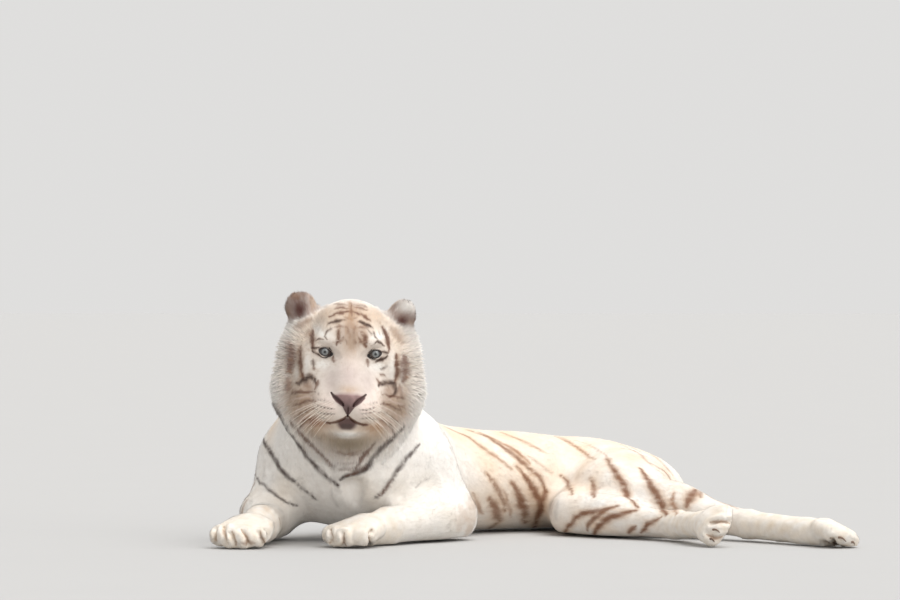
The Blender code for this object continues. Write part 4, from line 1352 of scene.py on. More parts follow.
    def relief(self, place: Array) -> Array:
        """How far back each place of the muzzle moves; what stands out moves forward."""
        flat = place[:, [0, 2]]
        x, z = np.abs(flat[:, 0]), flat[:, 1]
        calm = np.zeros(len(place))
        front = 1 - ease(-0.075, -0.045, place[:, 1])
        moved = -self.nose_out * MARKINGS.nose_cover(flat) * front
        for stripe in NOSTRILS:
            moved += self.nostril_deep * stripe.cover(flat, calm) * front
        moved += self.septum_deep * SEPTUM.cover(flat, calm) * front
        for stripe in MOUTH_LINES:
            moved += self.lip_line_deep * stripe.cover(flat, calm) * (1 - ease(-0.05, -0.02, place[:, 1]))
        moved += self.mouth_deep * MOUTH.cover(flat, calm) * MARKINGS.below_lip(flat)
        moved += self.PADS.depth(x, z) * front
        philtrum = np.exp(-((x / 0.006) ** 2)) * ease(-0.128, -0.140, z)
        moved += self.philtrum_deep * philtrum * ease(-0.185, -0.165, z) * front
        for form in self.FORMS.values():
            moved += form.depth(x, z)
        return moved

    def lids(self, place: Array, side: int) -> Array:
        """Draws the skin over one eyeball, and opens it in an almond shape."""
        u, w = Almond.turned(place, side)
        far = Almond.measure(u, w)
        flat_far = np.hypot(place[:, 0] - side * HEAD.eye_reach, place[:, 2])
        ball = HEAD.eye_radius
        thick = self.lid_thick + 0.0012 * (w > 0) * np.exp(-(((far - 1.12) / 0.20) ** 2))
        lid = -np.sqrt(np.maximum((ball + thick) ** 2 - flat_far**2, 0.3 * ball**2))
        hidden = -np.sqrt(np.maximum(ball**2 - flat_far**2, 0.2 * ball**2)) + 0.0045
        open_share = 1 - ease(0.90, 1.03, far)
        inner = ease(0.0, -0.018, u) * ease(1.05, 1.5, far)
        near = (1 - ease(1.25, 2.5, far)) * (1 - 0.55 * inner) * (np.abs(place[:, 1]) < 0.05)
        goal = lid + (hidden - lid) * open_share
        moved = place.copy()
        moved[:, 1] += (goal - place[:, 1]) * near
        return moved


class Zones:
    """Tells which solid a place belongs to."""

    def __init__(self) -> None:
        """Gathers points of the flesh solids' surfaces."""
        places, self.owner = [], []
        for name in FLESH:
            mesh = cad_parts[name].data
            triangle = vertices_of(mesh)[triangles_of(mesh)]
            centre = triangle.mean(1)
            for share in ((1, 0, 0), (0, 1, 0), (0, 0, 1)):
                spread = 0.6 * np.tensordot(triangle, share, (1, 0)) + 0.4 * centre
                places.append(spread)
                self.owner += [name] * len(spread)
            places.append(centre)
            self.owner += [name] * len(centre)
        self.surface = np.concatenate(places)
        self.owner = np.array(self.owner)
        self.tree = tree_of(self.surface)

    def names(self, points: Array) -> Array:
        """The name of the nearest solid for each place."""
        return self.owner[[self.tree.find(point)[1] for point in points.tolist()]]


# ---- the coat ----
class Shape(Enum):
    """How a tuft is built: how many lengths it has."""

    SPIKE = 1
    BENT = 2


@dataclass(frozen=True)
class Tuft:
    """The sizes of one tuft, in metres or as shares of its length or width.

    Attributes:
        root_deep: How deep its root stands in the skin.
        least_wide: How wide it is before its length adds to that.
        wide: The share of its length that its width gains.
        thick: Its thickness as a share of its width.
        upper: The width of its upper joint as a share of the root's.
        settle: How much of its lift is gone at the last joint.
        droop: How much it hangs down past the first joint.
        sway: How much its way differs from its neighbours'.
        scatter: How much its shading differs from its neighbours'.
        floor_room: How high it stays over the floor.
        turn: How far the shading of its sides turns, with one length and with two.
        long: The range of lengths.
        lift: The range of lifts.
    """

    root_deep: float = 0.0012
    least_wide: float = 0.00080
    wide: float = 0.052
    thick: float = 0.42
    upper: float = 0.86
    settle: float = 0.62
    droop: float = 0.10
    sway: float = 0.16
    scatter: float = 0.09
    floor_room: float = 0.0004
    turn: tuple[float, float] = (0.30, 0.55)
    long: tuple[float, float] = (0.7, 1.15)
    lift: tuple[float, float] = (0.6, 1.35)


@dataclass(frozen=True)
class Patch:
    """One coat piece: where it grows, how thick, and of what tufts."""

    name: str
    zones: tuple[str, ...]
    count: int
    shape: Shape
    slot: str
    head_part: str = ""


class Coat:
    """All the tufts, in pieces that each cover one part of the body."""

    TUFT = Tuft()
    MAP_HALF = 0.0015
    MAP_EDGE = 0.006

    def __init__(self, skin: Skin) -> None:
        """Works out where and how the coat lies on the skin."""
        self.mesh = skin.piece.data
        self.points = vertices_of(self.mesh)
        self.edges = edges_of(self.mesh)
        self.zones = ZONES.names(self.points)
        self.local = HEAD.local(self.points)
        self.normals = unit(evened(normals_of(self.mesh), self.edges, 2))
        self.triangles = triangles_of(self.mesh)
        self.face_of = column(self.mesh.loop_triangles, "polygon_index", np.int32)
        self.ways = self.lie()
        noise = np.random.default_rng(77).normal(size=len(self.points))
        self.streaks = streaked(noise, self.points, self.ways, self.edges, 9)
        MARKINGS.lay_on(self.points)
        self.grow()
        self.masks = self.soft_masks()
        self.paint_skin()

    def soft_masks(self) -> dict[str, Array]:
        """How far each point of the skin belongs to each group of solids, fading over borders."""
        made = {}
        for name, (members, rounds) in SOFT_GROUPS.items():
            hard = np.isin(self.zones, members)[:, None] * 1.0
            made[name] = evened(hard, self.edges, rounds)[:, 0]
        return made

    def paint_skin(self) -> None:
        """Stores the markings and the nose's wetness on the skin."""
        colours = MARKINGS.colours(self.points, self.masks, self.streaks)
        paint_points(self.mesh, "coat_colour", colours * 0.97)
        flat = self.local[:, [0, 2]]
        lips = 0.6 * MOUTH.cover(flat, np.zeros(len(flat))) * MARKINGS.below_lip(flat)
        wet = np.maximum(MARKINGS.nose_cover(flat), lips)
        store_number(self.mesh, "wet", wet * (self.zones == "head") * (self.local[:, 1] < -0.03))

    def lie(self) -> Array:
        """Which way the coat lies at each point of the skin."""
        ways = np.zeros_like(self.points)
        for name, way in JOINTS.ways().items():
            ways[self.zones == name] = way
        ways[np.isin(self.zones, ("chest", "belly", "hips"))] += (0, 0, -0.35)
        x, y, z = self.local.T
        head = np.isin(self.zones, ("head", *EARS))
        from_nose = unit(self.local - (0, -0.16, -0.105))
        side = np.sign(x)[:, None] * np.array((1.0, 0, 0))
        low = ease(0.02, -0.08, z)[:, None]
        ruff = ease(0.10, 0.17, np.abs(x))[:, None]
        head_way = from_nose + low * np.array((0, 0, -0.55)) + ruff * side * 0.35
        under = (ease(-0.165, -0.19, z) * (y < 0.1))[:, None]
        head_way = head_way * (1 - 0.7 * under) + under * np.array((0, 0.25, -1.0))
        ways[head] = HEAD.world_way(head_way)[head]
        for sign, name in ((1, "ear_left"), (-1, "ear_right")):
            mine = self.zones == name
            ear_way = unit(self.local - (sign * 0.105, 0.12, 0.045))
            ways[mine] = HEAD.world_way(ear_way)[mine]
        ways = unit(ways)
        for _ in range(3):
            ways = unit(evened(ways, self.edges, 8))
            ways = unit(ways - (ways * self.normals).sum(1, keepdims=True) * self.normals)
        return ways

    def grow(self) -> None:
        """How long, wide and raised the tufts are at each point of the skin."""
        x, y, z = self.local.T
        radius = np.hypot(x / 0.19, (z + 0.07) / 0.19)
        head = self.zones == "head"
        long, lift = Hair.sizes(self.zones, "long"), Hair.sizes(self.zones, "lift")
        out = ease(0.60, 0.98, radius) * ease(-0.03, 0.05, y) * ease(0.10, 0.0, z)
        face_long = 0.0050 + 0.006 * ease(-0.03, 0.06, y)
        face_long += 0.026 * out * (0.45 + 0.55 * ease(-0.17, -0.08, z))
        face_long += 0.009 * ease(-0.196, -0.215, z) * (y < 0.08)
        face_long = np.minimum(face_long, np.where((z < -0.18) & (np.abs(x) < 0.15), 0.016, 1))
        long = np.where(head, face_long, long)
        lift = np.where(head, 0.26 + 0.16 * out, lift)
        bare = self.bareness()
        low = ease(0.018, 0.004, self.points[:, 2])
        self.long = long * (1 - 0.5 * low)
        self.lift = lift * (1 - 0.7 * low)
        self.density = (1 - bare) * (0.25 + 0.75 * ease(0.0020, 0.006, self.points[:, 2]))
        self.density = self.density / np.maximum(self.long, 0.004) ** 0.9

    def bareness(self) -> Array:
        """Where no hair grows: on the nose, in the nostrils, on the lids' edge and the lips."""
        x, y, z = self.local.T
        flat = self.local[:, [0, 2]]
        calm = np.zeros(len(flat))
        head = (self.zones == "head") & (y < 0.02)
        bare = MARKINGS.nose_cover(flat)
        for stripe in NOSTRILS + (SEPTUM,) + MOUTH_LINES:
            bare = np.maximum(bare, stripe.cover(flat, calm))
        mouth = np.minimum(1, 1.3 * MOUTH.cover(flat, calm)) * MARKINGS.below_lip(flat)
        bare = np.maximum(bare, mouth * (y < -0.03))
        for side in (-1, 1):
            far = Almond.measure(*Almond.turned(self.local, side))
            bare = np.maximum(bare, 1 - ease(1.10, 1.30, far))
        toes = 0.75 * (1 - ease(0.002, 0.006, gap_to(TOE_CLEFTS, self.points)))
        return np.maximum(bare * head, toes)

    def roots(self, patch: Patch, seed: int) -> dict[str, Array]:
        """Picks where the tufts of one piece stand.

        Args:
            patch: The piece.
            seed: Picks the places.

        Returns:
            Arrays of places, normals, ways, lengths, lifts, triangles, shares, streaks and masks.
        """
        pick = np.random.default_rng(seed)
        first, second, third = self.points[self.triangles].transpose(1, 0, 2)
        area = np.linalg.norm(np.cross(second - first, third - first), axis=1) / 2
        middle = self.zones[self.triangles[:, 0]]
        mine = np.isin(middle, patch.zones)
        if patch.head_part:
            local = self.local[self.triangles].mean(1)
            face = (local[:, 1] < 0.028) & (np.abs(local[:, 0]) < 0.135)
            side = (local[:, 0] > 0) if patch.head_part == "left" else (local[:, 0] <= 0)
            mine &= face if patch.head_part == "face" else ~face & side
        weight = area * self.density[self.triangles].mean(1) * mine
        chosen = pick.choice(len(weight), patch.count, p=weight / weight.sum())
        share = pick.dirichlet((1, 1, 1), patch.count)
        trio = self.triangles[chosen]

        def spread(values: Array) -> Array:
            """Values of the skin's points, taken at the roots."""
            shaped = share if values.ndim == 1 else share[..., None]
            return (values[trio] * shaped).sum(1)

        return {
            "place": spread(self.points), "normal": unit(spread(self.normals)),
            "way": unit(spread(self.ways)), "long": spread(self.long), "lift": spread(self.lift),
            "triangle": chosen, "share": share, "streak": spread(self.streaks),
            "masks": {name: spread(values) for name, values in self.masks.items()},
        }

    def piece(self, patch: Patch, seed: int, material: bpy.types.Material) -> bpy.types.Object:
        """Builds one coat piece.

        Args:
            patch: What and where.
            seed: Picks the places and the small differences.
            material: The coat's finish.

        Returns:
            The finished piece.
        """
        tuft = self.TUFT
        root = self.roots(patch, seed)
        pick = np.random.default_rng(seed + 100)
        count = patch.count
        normal, way = root["normal"], root["way"]
        sway = pick.normal(0, tuft.sway, (count, 1))
        way = unit(way + unit(np.cross(way, normal)) * sway)
        side = unit(np.cross(way, normal))
        long = (root["long"] * pick.uniform(*tuft.long, count))[:, None]
        lift = (root["lift"] * pick.uniform(*tuft.lift, count))[:, None]
        sections = patch.shape.value
        wide = tuft.least_wide + tuft.wide * long
        thick = tuft.thick * wide
        at = root["place"] - normal * tuft.root_deep
        facing = unit(normal + pick.normal(0, tuft.scatter, (count, 3)))
        turn = tuft.turn[sections - 1]
        rings, shading = [], []
        for ring in range(sections):
            slope = lift * (1 - tuft.settle * ring / max(sections - 1, 1))
            heading = unit(way + normal * slope - UP * tuft.droop * (ring > 0))
            swell = 1.0 if ring == 0 else tuft.upper
            over = unit(np.cross(side, heading))
            reach = side * wide * swell / 2
            rings += [at + reach, at - reach, at + over * thick * swell]
            shading += [facing + turn * side, facing - turn * side, facing + turn * over]
            at = at + heading * long / sections
        points = np.stack(rings + [at], 1)
        points[..., 2] = np.maximum(points[..., 2], tuft.floor_room)
        shading = unit(np.stack(shading + [facing + turn * over], 1))
        faces = self.tuft_faces(sections, points[0])
        each = points.shape[1]
        triangles = (faces[None] + (np.arange(count) * each)[:, None, None]).reshape(-1, 3)
        made = triangles_object(patch.name, points.reshape(-1, 3), triangles)
        aimed = made.data.attributes.new("custom_normal", "FLOAT_VECTOR", "POINT")
        aimed.data.foreach_set("vector", shading.astype(np.float32).ravel())
        self.colour(made.data, root, pick, sections)
        self.unwrap(made.data, root, each, triangles)
        return finished(made, material)

    @staticmethod
    def tuft_faces(sections: int, points: Array) -> Array:
        """The triangles of one closed tuft, facing outwards.

        Args:
            sections: How many lengths it has.
            points: One tuft's points, three at each joint and then its tip.

        Returns:
            Three point numbers a row.
        """
        sides = ((0, 1), (1, 2), (2, 0))
        faces = [(0, 2, 1)]
        for low in range(0, 3 * sections - 3, 3):
            for a, b in sides:
                faces += [(low + a, low + b, low + b + 3), (low + a, low + b + 3, low + a + 3)]
        last, tip = 3 * sections - 3, 3 * sections
        faces = np.array(faces + [(last + a, last + b, tip) for a, b in sides])
        corner = points[faces] - points.mean(0)
        volume = np.einsum("ij,ij->i", corner[:, 0], np.cross(corner[:, 1], corner[:, 2])).sum()
        return faces[:, ::-1] if volume < 0 else faces

    def colour(self, mesh: bpy.types.Mesh, root: dict, pick: np.random.Generator, sections: int) -> None:
        """Stores each tuft's colours: the markings along it, a little lighter to the tip.

        Args:
            mesh: The piece's mesh.
            root: Where and how the tufts stand.
            pick: The random choices.
            sections: How many lengths a tuft has.
        """
        count = len(root["long"])
        reach = root["way"] * root["long"][:, None]
        low, high = (
            MARKINGS.colours(root["place"] + reach * share, root["masks"], root["streak"])
            for share in (0.40, 0.85)
        )
        small = pick.uniform(0.94, 1.05, (count, 1)) * (1 + pick.normal(0, 0.010, (count, 3)))
        height = np.concatenate([np.repeat(np.arange(sections) / sections, 3), [1.0]])[None, :, None]
        tone = low[:, None] * (1 - height) + high[:, None] * height
        tone = tone * small[:, None] * (0.93 + 0.12 * height)
        paint_points(mesh, "coat_colour", np.clip(tone, 0.003, 0.97).reshape(-1, 3))

    def unwrap(self, mesh: bpy.types.Mesh, root: dict, each: int, triangles: Array) -> None:
        """Gives the piece its OFBake map: a small patch for each tuft, on the skin's own unwrap.

        Args:
            mesh: The piece's mesh.
            root: Where and how the tufts stand.
            each: How many points a tuft has.
            triangles: Three point numbers a row.
        """
        face = self.face_of[root["triangle"]]
        used, face = np.unique(face, return_inverse=True)
        flat, starts, sizes = self.unwrapped(used)
        low, high = flat.min(0), flat.max(0)
        flat = self.MAP_EDGE + (1 - 2 * self.MAP_EDGE) * (flat - low) / (high - low)
        middle = np.add.reduceat(flat, starts, axis=0) / sizes[:, None]
        share = root["share"]
        place = share[:, :1] * flat[starts[face]] + share[:, 1:2] * flat[starts[face] + 1]
        place = place + share[:, 2:] * middle[face]
        half = self.MAP_HALF
        turns = np.linspace(0, 2 * math.pi, each, endpoint=False)
        corner = np.array([(math.cos(turn), math.sin(turn)) for turn in turns])
        places = np.clip(place, half, 1 - half)[:, None, :] + corner[None] * half
        places = places.reshape(-1, 2)[triangles.ravel()]
        layer = mesh.uv_layers.new(name="OFBake")
        layer.data.foreach_set("uv", places.astype(np.float32).ravel())

    def unwrapped(self, used: Array) -> tuple[Array, Array, Array]:
        """Unwraps some of the skin's faces, on a copy that is removed again.

        Args:
            used: The numbers of the faces.

        Returns:
            The places on the map, and where each face's places start and how many they are.
        """
        keep = np.zeros(len(self.mesh.polygons), bool)
        keep[used] = True
        part = self.mesh.copy()
        with reshaped(part) as shape:
            others = [face for face in shape.faces if not keep[face.index]]
            bmesh.ops.delete(shape, geom=others, context="FACES")
        holder = placed("unwrap", part)
        bpy.context.view_layer.objects.active = holder
        holder.select_set(True)
        part.uv_layers.new(name="flat")
        bpy.ops.object.mode_set(mode="EDIT")
        bpy.ops.mesh.select_all(action="SELECT")
        bpy.ops.uv.smart_project(angle_limit=math.radians(66), island_margin=0.004)
        bpy.ops.object.mode_set(mode="OBJECT")
        flat = column(part.uv_layers["flat"].data, "uv", np.float32, 2)
        starts, sizes = (column(part.polygons, key, np.int32) for key in ("loop_start", "loop_total"))
        bpy.data.objects.remove(holder)
        return flat, starts, sizes


# ---- eyes ----
@dataclass
class Eye:
    """One eyeball with a bulging cornea, its iris and pupil, and the dark rim of its lids."""

    side: int
    iris: float = 0.0113
    cornea: float = 0.0016
    rings: int = 40
    spokes: int = 64
    rim_steps: int = 84
    rim_sides: int = 10
    rim_high: float = 0.0016

    def build(self, material: bpy.types.Material, rim: bpy.types.Material) -> None:
        """Makes and dresses the eyeball and its rim."""
        name = "left" if self.side > 0 else "right"
        radius = HEAD.eye_radius
        points, out, turns = [], [], []
        for ring in range(self.rings + 1):
            angle = math.pi * (ring / self.rings) ** 1.35
            off = radius * math.sin(angle)
            ahead = angle < math.pi / 2
            bulge = self.cornea * math.exp(-((off / (self.iris * 0.85)) ** 4)) if ahead else 0
            for spoke in range(self.spokes):
                turn = 2 * math.pi * spoke / self.spokes
                y = -(radius * math.cos(angle) + bulge)
                points.append((off * math.cos(turn), y, off * math.sin(turn)))
                out.append(min(off if ahead else radius * 1.01, radius * 1.01) / radius)
                turns.append(spoke / self.spokes * 2 * math.pi)
        gaze = np.array(Matrix.Rotation(math.radians(self.side * 1.0), 3, "Z"))
        ball = self.shell("eyeball_" + name, np.array(points) @ gaze.T, self.rings, self.spokes)
        for key, values in (("out", out), ("turn_x", np.cos(turns)), ("turn_y", np.sin(turns))):
            store_number(ball.data, key, np.array(values))
        cleaned(ball)
        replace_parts(finished(ball, material), "eye_" + name)
        made = self.shell("lid_rim_" + name, self.rim_points(), self.rim_steps, self.rim_sides)
        cleaned(made)
        finished(made, rim)

    def shell(self, name: str, points: Array, rings: int, spokes: int) -> bpy.types.Object:
        """A piece of rings of points at this eye; rings that meet at their ends close on themselves.

        Args:
            name: The piece's name.
            points: Its points ring by ring, seen from the middle of the eye.
            rings: How many bands of faces it has.
            spokes: How many points a ring has.

        Returns:
            The new object.
        """
        faces = []
        for ring in range(rings):
            for spoke in range(spokes):
                a, b = ring * spokes + spoke, ring * spokes + (spoke + 1) % spokes
                faces.append(tuple(corner % len(points) for corner in (a, b, b + spokes, a + spokes)))
        return mesh_object(name, HEAD.world(points + (self.side * HEAD.eye_reach, 0, 0)), faces)

    def rim_points(self) -> Array:
        """The dark, moist edge of the lids, on the eyeball."""
        radius = HEAD.eye_radius + 0.0005
        lean, rise = math.cos(Almond.TILT), math.sin(Almond.TILT)
        points = []
        for step in range(self.rim_steps):
            turn = 2 * math.pi * (step + 0.5) / self.rim_steps
            u, w = Almond.edge(turn)
            x, z = (u * lean - w * rise) * self.side, u * rise + w * lean
            y = -math.sqrt(max(radius**2 - x * x - z * z, (0.52 * radius) ** 2))
            centre = Vector((x, y, z))
            out = centre.normalized()
            edge = Vector((math.cos(turn) * self.side, 0, math.sin(turn))).normalized()
            thick = 0.0018 + 0.0016 * max(0.0, math.sin(turn)) + 0.0010 * max(0.0, -math.cos(turn)) ** 2
            for part in range(self.rim_sides):
                angle = 2 * math.pi * part / self.rim_sides
                offset = out * math.sin(angle) * self.rim_high + edge * math.cos(angle) * thick
                points.append(centre + offset)
        return np.array(points)


def cleaned(piece: bpy.types.Object) -> None:
    """Merges doubles and turns all faces outwards."""
    with reshaped(piece.data) as shape:
        bmesh.ops.remove_doubles(shape, verts=shape.verts, dist=1e-6)
        bmesh.ops.recalc_face_normals(shape, faces=shape.faces)


# ---- finishes ----
@dataclass(frozen=True)
class FurFinish:
    """Dry pale hair over its stored markings."""

    name: str = "coat"
    rough: float = 0.72
    gloss: float = 0.22
    sheen: float = 0.08
    sheen_rough: float = 0.6
    mottle_scale: float = 55.0

    def make(self) -> bpy.types.Material:
        """Builds the material."""
        made = Finish(
            self.name,
            Roughness=self.rough,
            Specular_IOR_Level=self.gloss,
            Sheen_Weight=self.sheen,
            Sheen_Roughness=self.sheen_rough,
        )
        grain = made.grain(self.mottle_scale)
        stops = (0.25, (0.94, 0.93, 0.92)), (0.75, (1.0, 1.0, 1.0))
        made.feed("Base Color", made.toned(made.stored("coat_colour"), grain, *stops))
        made.feed("Roughness", 0.66 + grain * 0.16)
        return made.material


@dataclass(frozen=True)
class SkinFinish:
    """Short flat fur as bump, and the moist leather of the nose."""

    name: str = "skin"
    hair_scale: float = 420.0
    mottle_scale: float = 60.0
    pore_scale: float = 900.0
    bump: float = 0.0012

    def make(self) -> bpy.types.Material:
        """Builds the material."""
        made = Finish(self.name, Specular_IOR_Level=0.35)
        wet = made.stored("wet", "Fac")
        fine = made.grain(self.hair_scale, 2.0, (1, 1, 0.35))
        broad = made.grain(self.mottle_scale)
        place = made.add("ShaderNodeTexCoord", output="Object")
        edges = {"feature": "DISTANCE_TO_EDGE"}
        pores = made.add("ShaderNodeTexVoronoi", edges, "Distance", Vector=place, Scale=self.pore_scale)
        stops = (0.2, (0.86, 0.84, 0.82)), (0.8, (1.0, 1.0, 1.0))
        made.feed("Base Color", made.toned(made.stored("coat_colour"), broad, *stops))
        made.feed("Roughness", 0.85 - wet * 0.42)
        made.rough_up(fine * (1 - wet) + pores * wet * 0.6, 0.5, self.bump)
        return made.material


@dataclass(frozen=True)
class EyeFinish:
    """Pale blue-grey iris with fine spokes round a black pupil, wet all over."""

    name: str = "eye"
    pupil: float = 0.15
    iris: float = 0.505

    def make(self) -> bpy.types.Material:
        """Builds the material."""
        made = Finish(self.name, Roughness=0.12, Coat_Weight=1.0, Coat_Roughness=0.03, IOR=1.38)
        out = made.stored("out", "Fac")
        x, y = (made.stored(name, "Fac") for name in ("turn_x", "turn_y"))
        turn = made.add("ShaderNodeCombineXYZ", X=x, Y=y, Z=out * 0.35)
        spokes = made.add("ShaderNodeTexNoise", Vector=turn, Scale=9.0, Detail=4.0)
        black = (0.004, 0.004, 0.005)
        stops = (
            (0.0, black),
            (self.pupil - 0.012, black),
            (self.pupil + 0.012, (0.08, 0.087, 0.087)),
            (self.pupil + 0.08, (0.20, 0.212, 0.212)),
            (self.iris - 0.12, (0.225, 0.237, 0.240)),
            (self.iris - 0.03, (0.045, 0.045, 0.048)),
            (self.iris + 0.05, (0.035, 0.026, 0.024)),
            (1.0, (0.05, 0.035, 0.032)),
        )
        ramp = made.add("ShaderNodeValToRGB", {"stops": stops}, Fac=out)
        streaks = (0.35, (0.62, 0.62, 0.62)), (0.65, (1.15, 1.15, 1.15))
        made.feed("Base Color", made.toned(ramp, spokes, *streaks))
        return made.material


@dataclass(frozen=True)
class PlainFinish:
    """A single stuff with a little grain, such as lid skin, whiskers, claws or the floor."""

    name: str
    colour: tuple[float, float, float]
    rough: float
    grain_scale: float = 200.0
    contrast: float = 0.12

    def make(self) -> bpy.types.Material:
        """Builds the material."""
        made = Finish(self.name, Roughness=self.rough)
        grain = made.grain(self.grain_scale)
        tone = tuple(linear(self.colour))
        dark = tuple(value * (1 - self.contrast) for value in tone)
        made.feed("Base Color", made.mixed(grain, dark, tone))
        made.rough_up(grain, 0.15, 0.0006)
        return made.material


# ---- whiskers and claws ----
@dataclass
class Whiskers:
    """Long pale bristles in rows on the pads, made by a node tree from short marked lines."""

    rows: tuple[tuple[float, int], ...] = ((-0.122, 4), (-0.135, 5), (-0.148, 5), (-0.158, 3))
    steps: int = 6
    radius: float = 0.00055
    tip: float = 0.12

    def build(self, skin: Skin, material: bpy.types.Material) -> None:
        """Grows the whiskers on the sculpted muzzle."""
        local = HEAD.local(vertices_of(skin.piece.data))
        pick = np.random.default_rng(21)
        lines = []
        share = (np.arange(self.steps + 1) / self.steps)[:, None]
        for side in (-1, 1):
            for row, (height, count) in enumerate(self.rows):
                for index in range(count):
                    x = side * (0.038 + 0.0095 * index + 0.003 * (row % 2))
                    far = np.hypot(local[:, 0] - x, local[:, 2] - height)
                    start = local[np.argmin(far + 0.15 * np.maximum(local[:, 1] + 0.03, 0))]
                    long = pick.uniform(0.075, 0.125) * (0.7 + 0.1 * index)
                    out, back, up = pick.uniform(0.8, 1.0), pick.uniform(-0.25, 0.1), pick.uniform(-0.45, -0.15)
                    way = Vector((side * out, back, up - 0.10 * row)).normalized()
                    droop = Vector((side * 0.02, 0.12, -0.34 - 0.06 * row)) * long
                    bend, tip = np.array(way * long * 0.55), np.array(way * long + droop * 0.8)
                    a, b, c = HEAD.world(np.array((start, start + bend, start + tip)))
                    lines.append((1 - share) ** 2 * a + 2 * share * (1 - share) * b + share * share * c)
        made = tubes_along(lines, "whiskers", material, self.radius, self.tip)
        finished(made, material)


@dataclass
class Claws:
    """The claw tips that show between the toes' hair."""

    steps: int = 4
    arch: float = 0.004
    radius: float = 0.0034
    tip: float = 0.30

    def build(self, skin: Skin, material: bpy.types.Material) -> None:
        """Sets each claw on the skin, curved a little to its tip."""
        tree = tree_of(vertices_of(skin.piece.data))
        share = (np.arange(self.steps + 1) / self.steps)[:, None]
        arch = np.array((0, -self.arch, self.arch)) * np.sin(math.pi * share)
        lines = []
        for root, tip in CLAWS:
            root, tip = np.array(root) * MM, np.array(tip) * MM
            start = np.array(tree.find(root.tolist())[0])
            lines.append(start + (tip - root) * (1.25 * share - 0.15) + arch)
        made = tubes_along(lines, "claws", material, self.radius, self.tip)
        finished(made, material)


def tubes_along(
    places: list[Array], name: str, material: bpy.types.Material, radius: float, tip: float
) -> bpy.types.Object:
    """Turns lines into tapering closed tubes with a Geometry Nodes tree.

    Args:
        places: The places along each line.
        name: The new piece's name.
        material: Its finish, set in the tree.
        radius: Half of the width at the root.
        tip: The share of it left at the tip.

    Returns:
        The new plain mesh.
    """
    curve = bpy.data.curves.new(name + "_lines", "CURVE")
    curve.dimensions = "3D"
    for line in places:
        path = curve.splines.new("POLY")
        path.points.add(len(line) - 1)
        for point, place in zip(path.points, line):
            point.co = (*place, 1)
    holder = placed(name + "_lines", curve)
    tree = bpy.data.node_groups.new(name + "_tree", "GeometryNodeTree")
    tree.interface.new_socket("Lines", in_out="INPUT", socket_type="NodeSocketGeometry")
    root = tree.interface.new_socket("Root radius", in_out="INPUT", socket_type="NodeSocketFloat")
    end = tree.interface.new_socket("Tip share", in_out="INPUT", socket_type="NodeSocketFloat")
    tree.interface.new_socket("Tubes", in_out="OUTPUT", socket_type="NodeSocketGeometry")
    inside = tree.nodes.new("NodeGroupInput")
    lines, root_out, tip_out = (Flow(tree, inside.outputs[index]) for index in range(3))
    along = add_node(tree, "GeometryNodeSplineParameter", {}, {}, "Factor")
    size = root_out * (1 - along * (1 - tip_out))
    sized = add_node(tree, "GeometryNodeSetCurveRadius", {}, {"Curve": lines, "Radius": size})
    ring = add_node(tree, "GeometryNodeCurvePrimitiveCircle", {}, {"Resolution": 6, "Radius": 1.0})
    wide = add_node(tree, "GeometryNodeInputRadius", {}, {})
    sockets = {"Curve": sized, "Profile Curve": ring, "Fill Caps": True, "Scale": wide}
    tubes = add_node(tree, "GeometryNodeCurveToMesh", {}, sockets)
    real = add_node(tree, "GeometryNodeRealizeInstances", {}, {"Geometry": tubes})
    dressed = add_node(tree, "GeometryNodeSetMaterial", {}, {"Geometry": real, "Material": material})
    outside = tree.nodes.new("NodeGroupOutput")
    tree.links.new(dressed.socket, outside.inputs[0])
    step = holder.modifiers.new("grow", "NODES")
    step.node_group = tree
    step[root.identifier] = radius
    step[end.identifier] = tip
    bpy.context.view_layer.update()
    mesh = bpy.data.meshes.new_from_object(holder.evaluated_get(bpy.context.evaluated_depsgraph_get()))
    mesh.name = name
    bpy.data.objects.remove(holder)
    return placed(name, mesh)


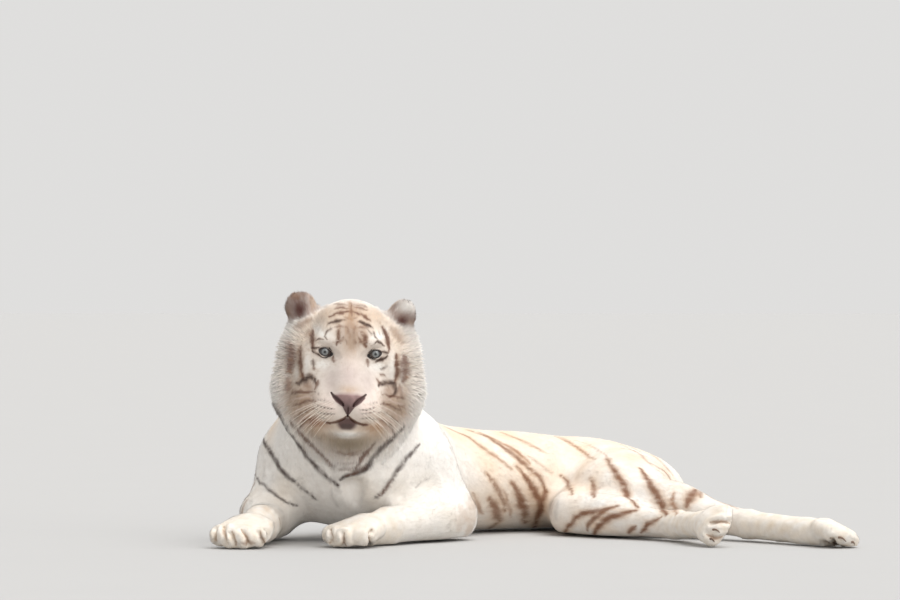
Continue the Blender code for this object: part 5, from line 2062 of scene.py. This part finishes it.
# ---- the studio ----
@dataclass
class Studio:
    """A pale floor, soft even light and the camera."""

    far: float = 12.0
    fall: float = math.radians(3.5)
    lens: float = 184.8
    yaw: float = math.radians(-1.013)
    pitch: float = math.radians(3.085)
    top: float = 2.15
    key: float = 1.05
    room: float = 0.74
    floor_half: float = 60.0

    def build(self, floor: bpy.types.Material) -> None:
        """Sets up everything that isn't the tiger."""
        scene = bpy.context.scene
        scene.view_settings.view_transform = "Standard"
        corners = np.array([(-1, -1, 0), (1, -1, 0), (1, 1, 0), (-1, 1, 0)]) * self.floor_half
        made = mesh_object("floor", corners, [(0, 1, 2, 3)])
        made.data.materials.append(floor)
        self.light("top", Vector((0.30, -0.02, 1.0)), 50, self.top, (1.0, 0.995, 0.985))
        self.light("key", Vector((0.85, -1.0, 0.9)), 50, self.key, (1.0, 0.98, 0.955))
        world = bpy.data.worlds.new("room")
        world.use_nodes = True
        back = world.node_tree.nodes["Background"]
        back.inputs["Color"].default_value = (1.0, 0.992, 0.98, 1)
        back.inputs["Strength"].default_value = self.room
        scene.world = world
        self.camera()

    def light(self, name: str, place: Vector, wide: float, power: float, colour: tuple) -> None:
        """An even soft light from one direction.

        Args:
            name: Its name.
            place: Where it stands, seen from the tiger.
            wide: How wide it is in the sky, in degrees.
            power: How strong it is.
            colour: Its colour.
        """
        lamp = bpy.data.lights.new(name, "SUN")
        lamp.energy, lamp.angle, lamp.color = power, math.radians(wide), colour
        made = placed(name, lamp)
        made.rotation_mode = "QUATERNION"
        made.rotation_quaternion = (-place).to_track_quat("-Z", "Y")

    def camera(self) -> None:
        """A long lens, low and level with the tiger, aimed between its head and its back."""
        lens = bpy.data.cameras.new("camera")
        lens.lens, lens.sensor_width = self.lens, 36.0
        lens.clip_end = 100
        made = placed("camera", lens)
        start = Vector((-0.0095, SOLID_BOX[0].y + 0.0550, 0))
        made.location = start + Vector((0, -self.far * math.cos(self.fall), self.far * math.sin(self.fall)))
        turn = Matrix.Rotation(math.pi / 2 - self.fall, 4, "X")
        ahead = (turn.to_3x3() @ Vector((math.tan(self.yaw), math.tan(self.pitch), -1))).normalized()
        made.rotation_mode = "QUATERNION"
        made.rotation_quaternion = ahead.to_track_quat("-Z", "Y")
        bpy.context.scene.camera = made


# ---- everything in order ----
PATCHES = (
    Patch("coat_face", ("head",), 40000, Shape.SPIKE, "white_coat", "face"),
    Patch("coat_ruff_left", ("head",), 15000, Shape.BENT, "white_coat", "left"),
    Patch("coat_ruff_right", ("head",), 15000, Shape.BENT, "white_coat", "right"),
    Patch("coat_ears", ("ear_left", "ear_right"), 8000, Shape.SPIKE, "ear_fur"),
    Patch("coat_neck", ("neck",), 24000, Shape.SPIKE, "white_coat"),
    Patch("coat_chest", ("chest",), 30000, Shape.SPIKE, "white_coat"),
    Patch("coat_belly", ("belly",), 34000, Shape.SPIKE, "striped_coat"),
    Patch("coat_hips", ("hips", "tail_base"), 26000, Shape.SPIKE, "striped_coat"),
    Patch("coat_left_foreleg", LEFT_FORELEG, 31000, Shape.SPIKE, "foot_coat"),
    Patch("coat_right_foreleg", RIGHT_FORELEG, 29000, Shape.SPIKE, "foot_coat"),
    Patch("coat_left_hind_leg", LEFT_HIND_LEG, 34000, Shape.SPIKE, "striped_coat"),
    Patch("coat_right_hind_leg", RIGHT_HIND_LEG, 24000, Shape.SPIKE, "striped_coat"),
    Patch("coat_tail", ("tail_middle", "tail_tip"), 14000, Shape.SPIKE, "striped_coat"),
)
ZONES = Zones()
JOINTS = Bones(ZONES.tree, ZONES.surface)
MARKINGS = Markings(JOINTS)


def main() -> None:
    """Builds the tiger and its studio."""
    Studio().build(PlainFinish("pale_floor", (0.705, 0.703, 0.70), 0.75, 3.0, 0.02).make())
    skin = Skin().build()
    coat = Coat(skin)
    fur = FurFinish().make()
    for index, patch in enumerate(PATCHES):
        coat.piece(patch, index + 1, fur)
    eye = EyeFinish().make()
    rim = PlainFinish("lid_skin", (0.09, 0.06, 0.06), 0.32).make()
    for side in (-1, 1):
        Eye(side).build(eye, rim)
    Whiskers().build(skin, PlainFinish("whisker", (0.93, 0.90, 0.85), 0.35).make())
    Claws().build(skin, PlainFinish("claw_horn", (0.50, 0.40, 0.33), 0.35, 300.0, 0.3).make())
    skin.thin()
    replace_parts(finished(skin.piece, SkinFinish().make()), *FLESH)


if __name__ == "__main__":
    main()
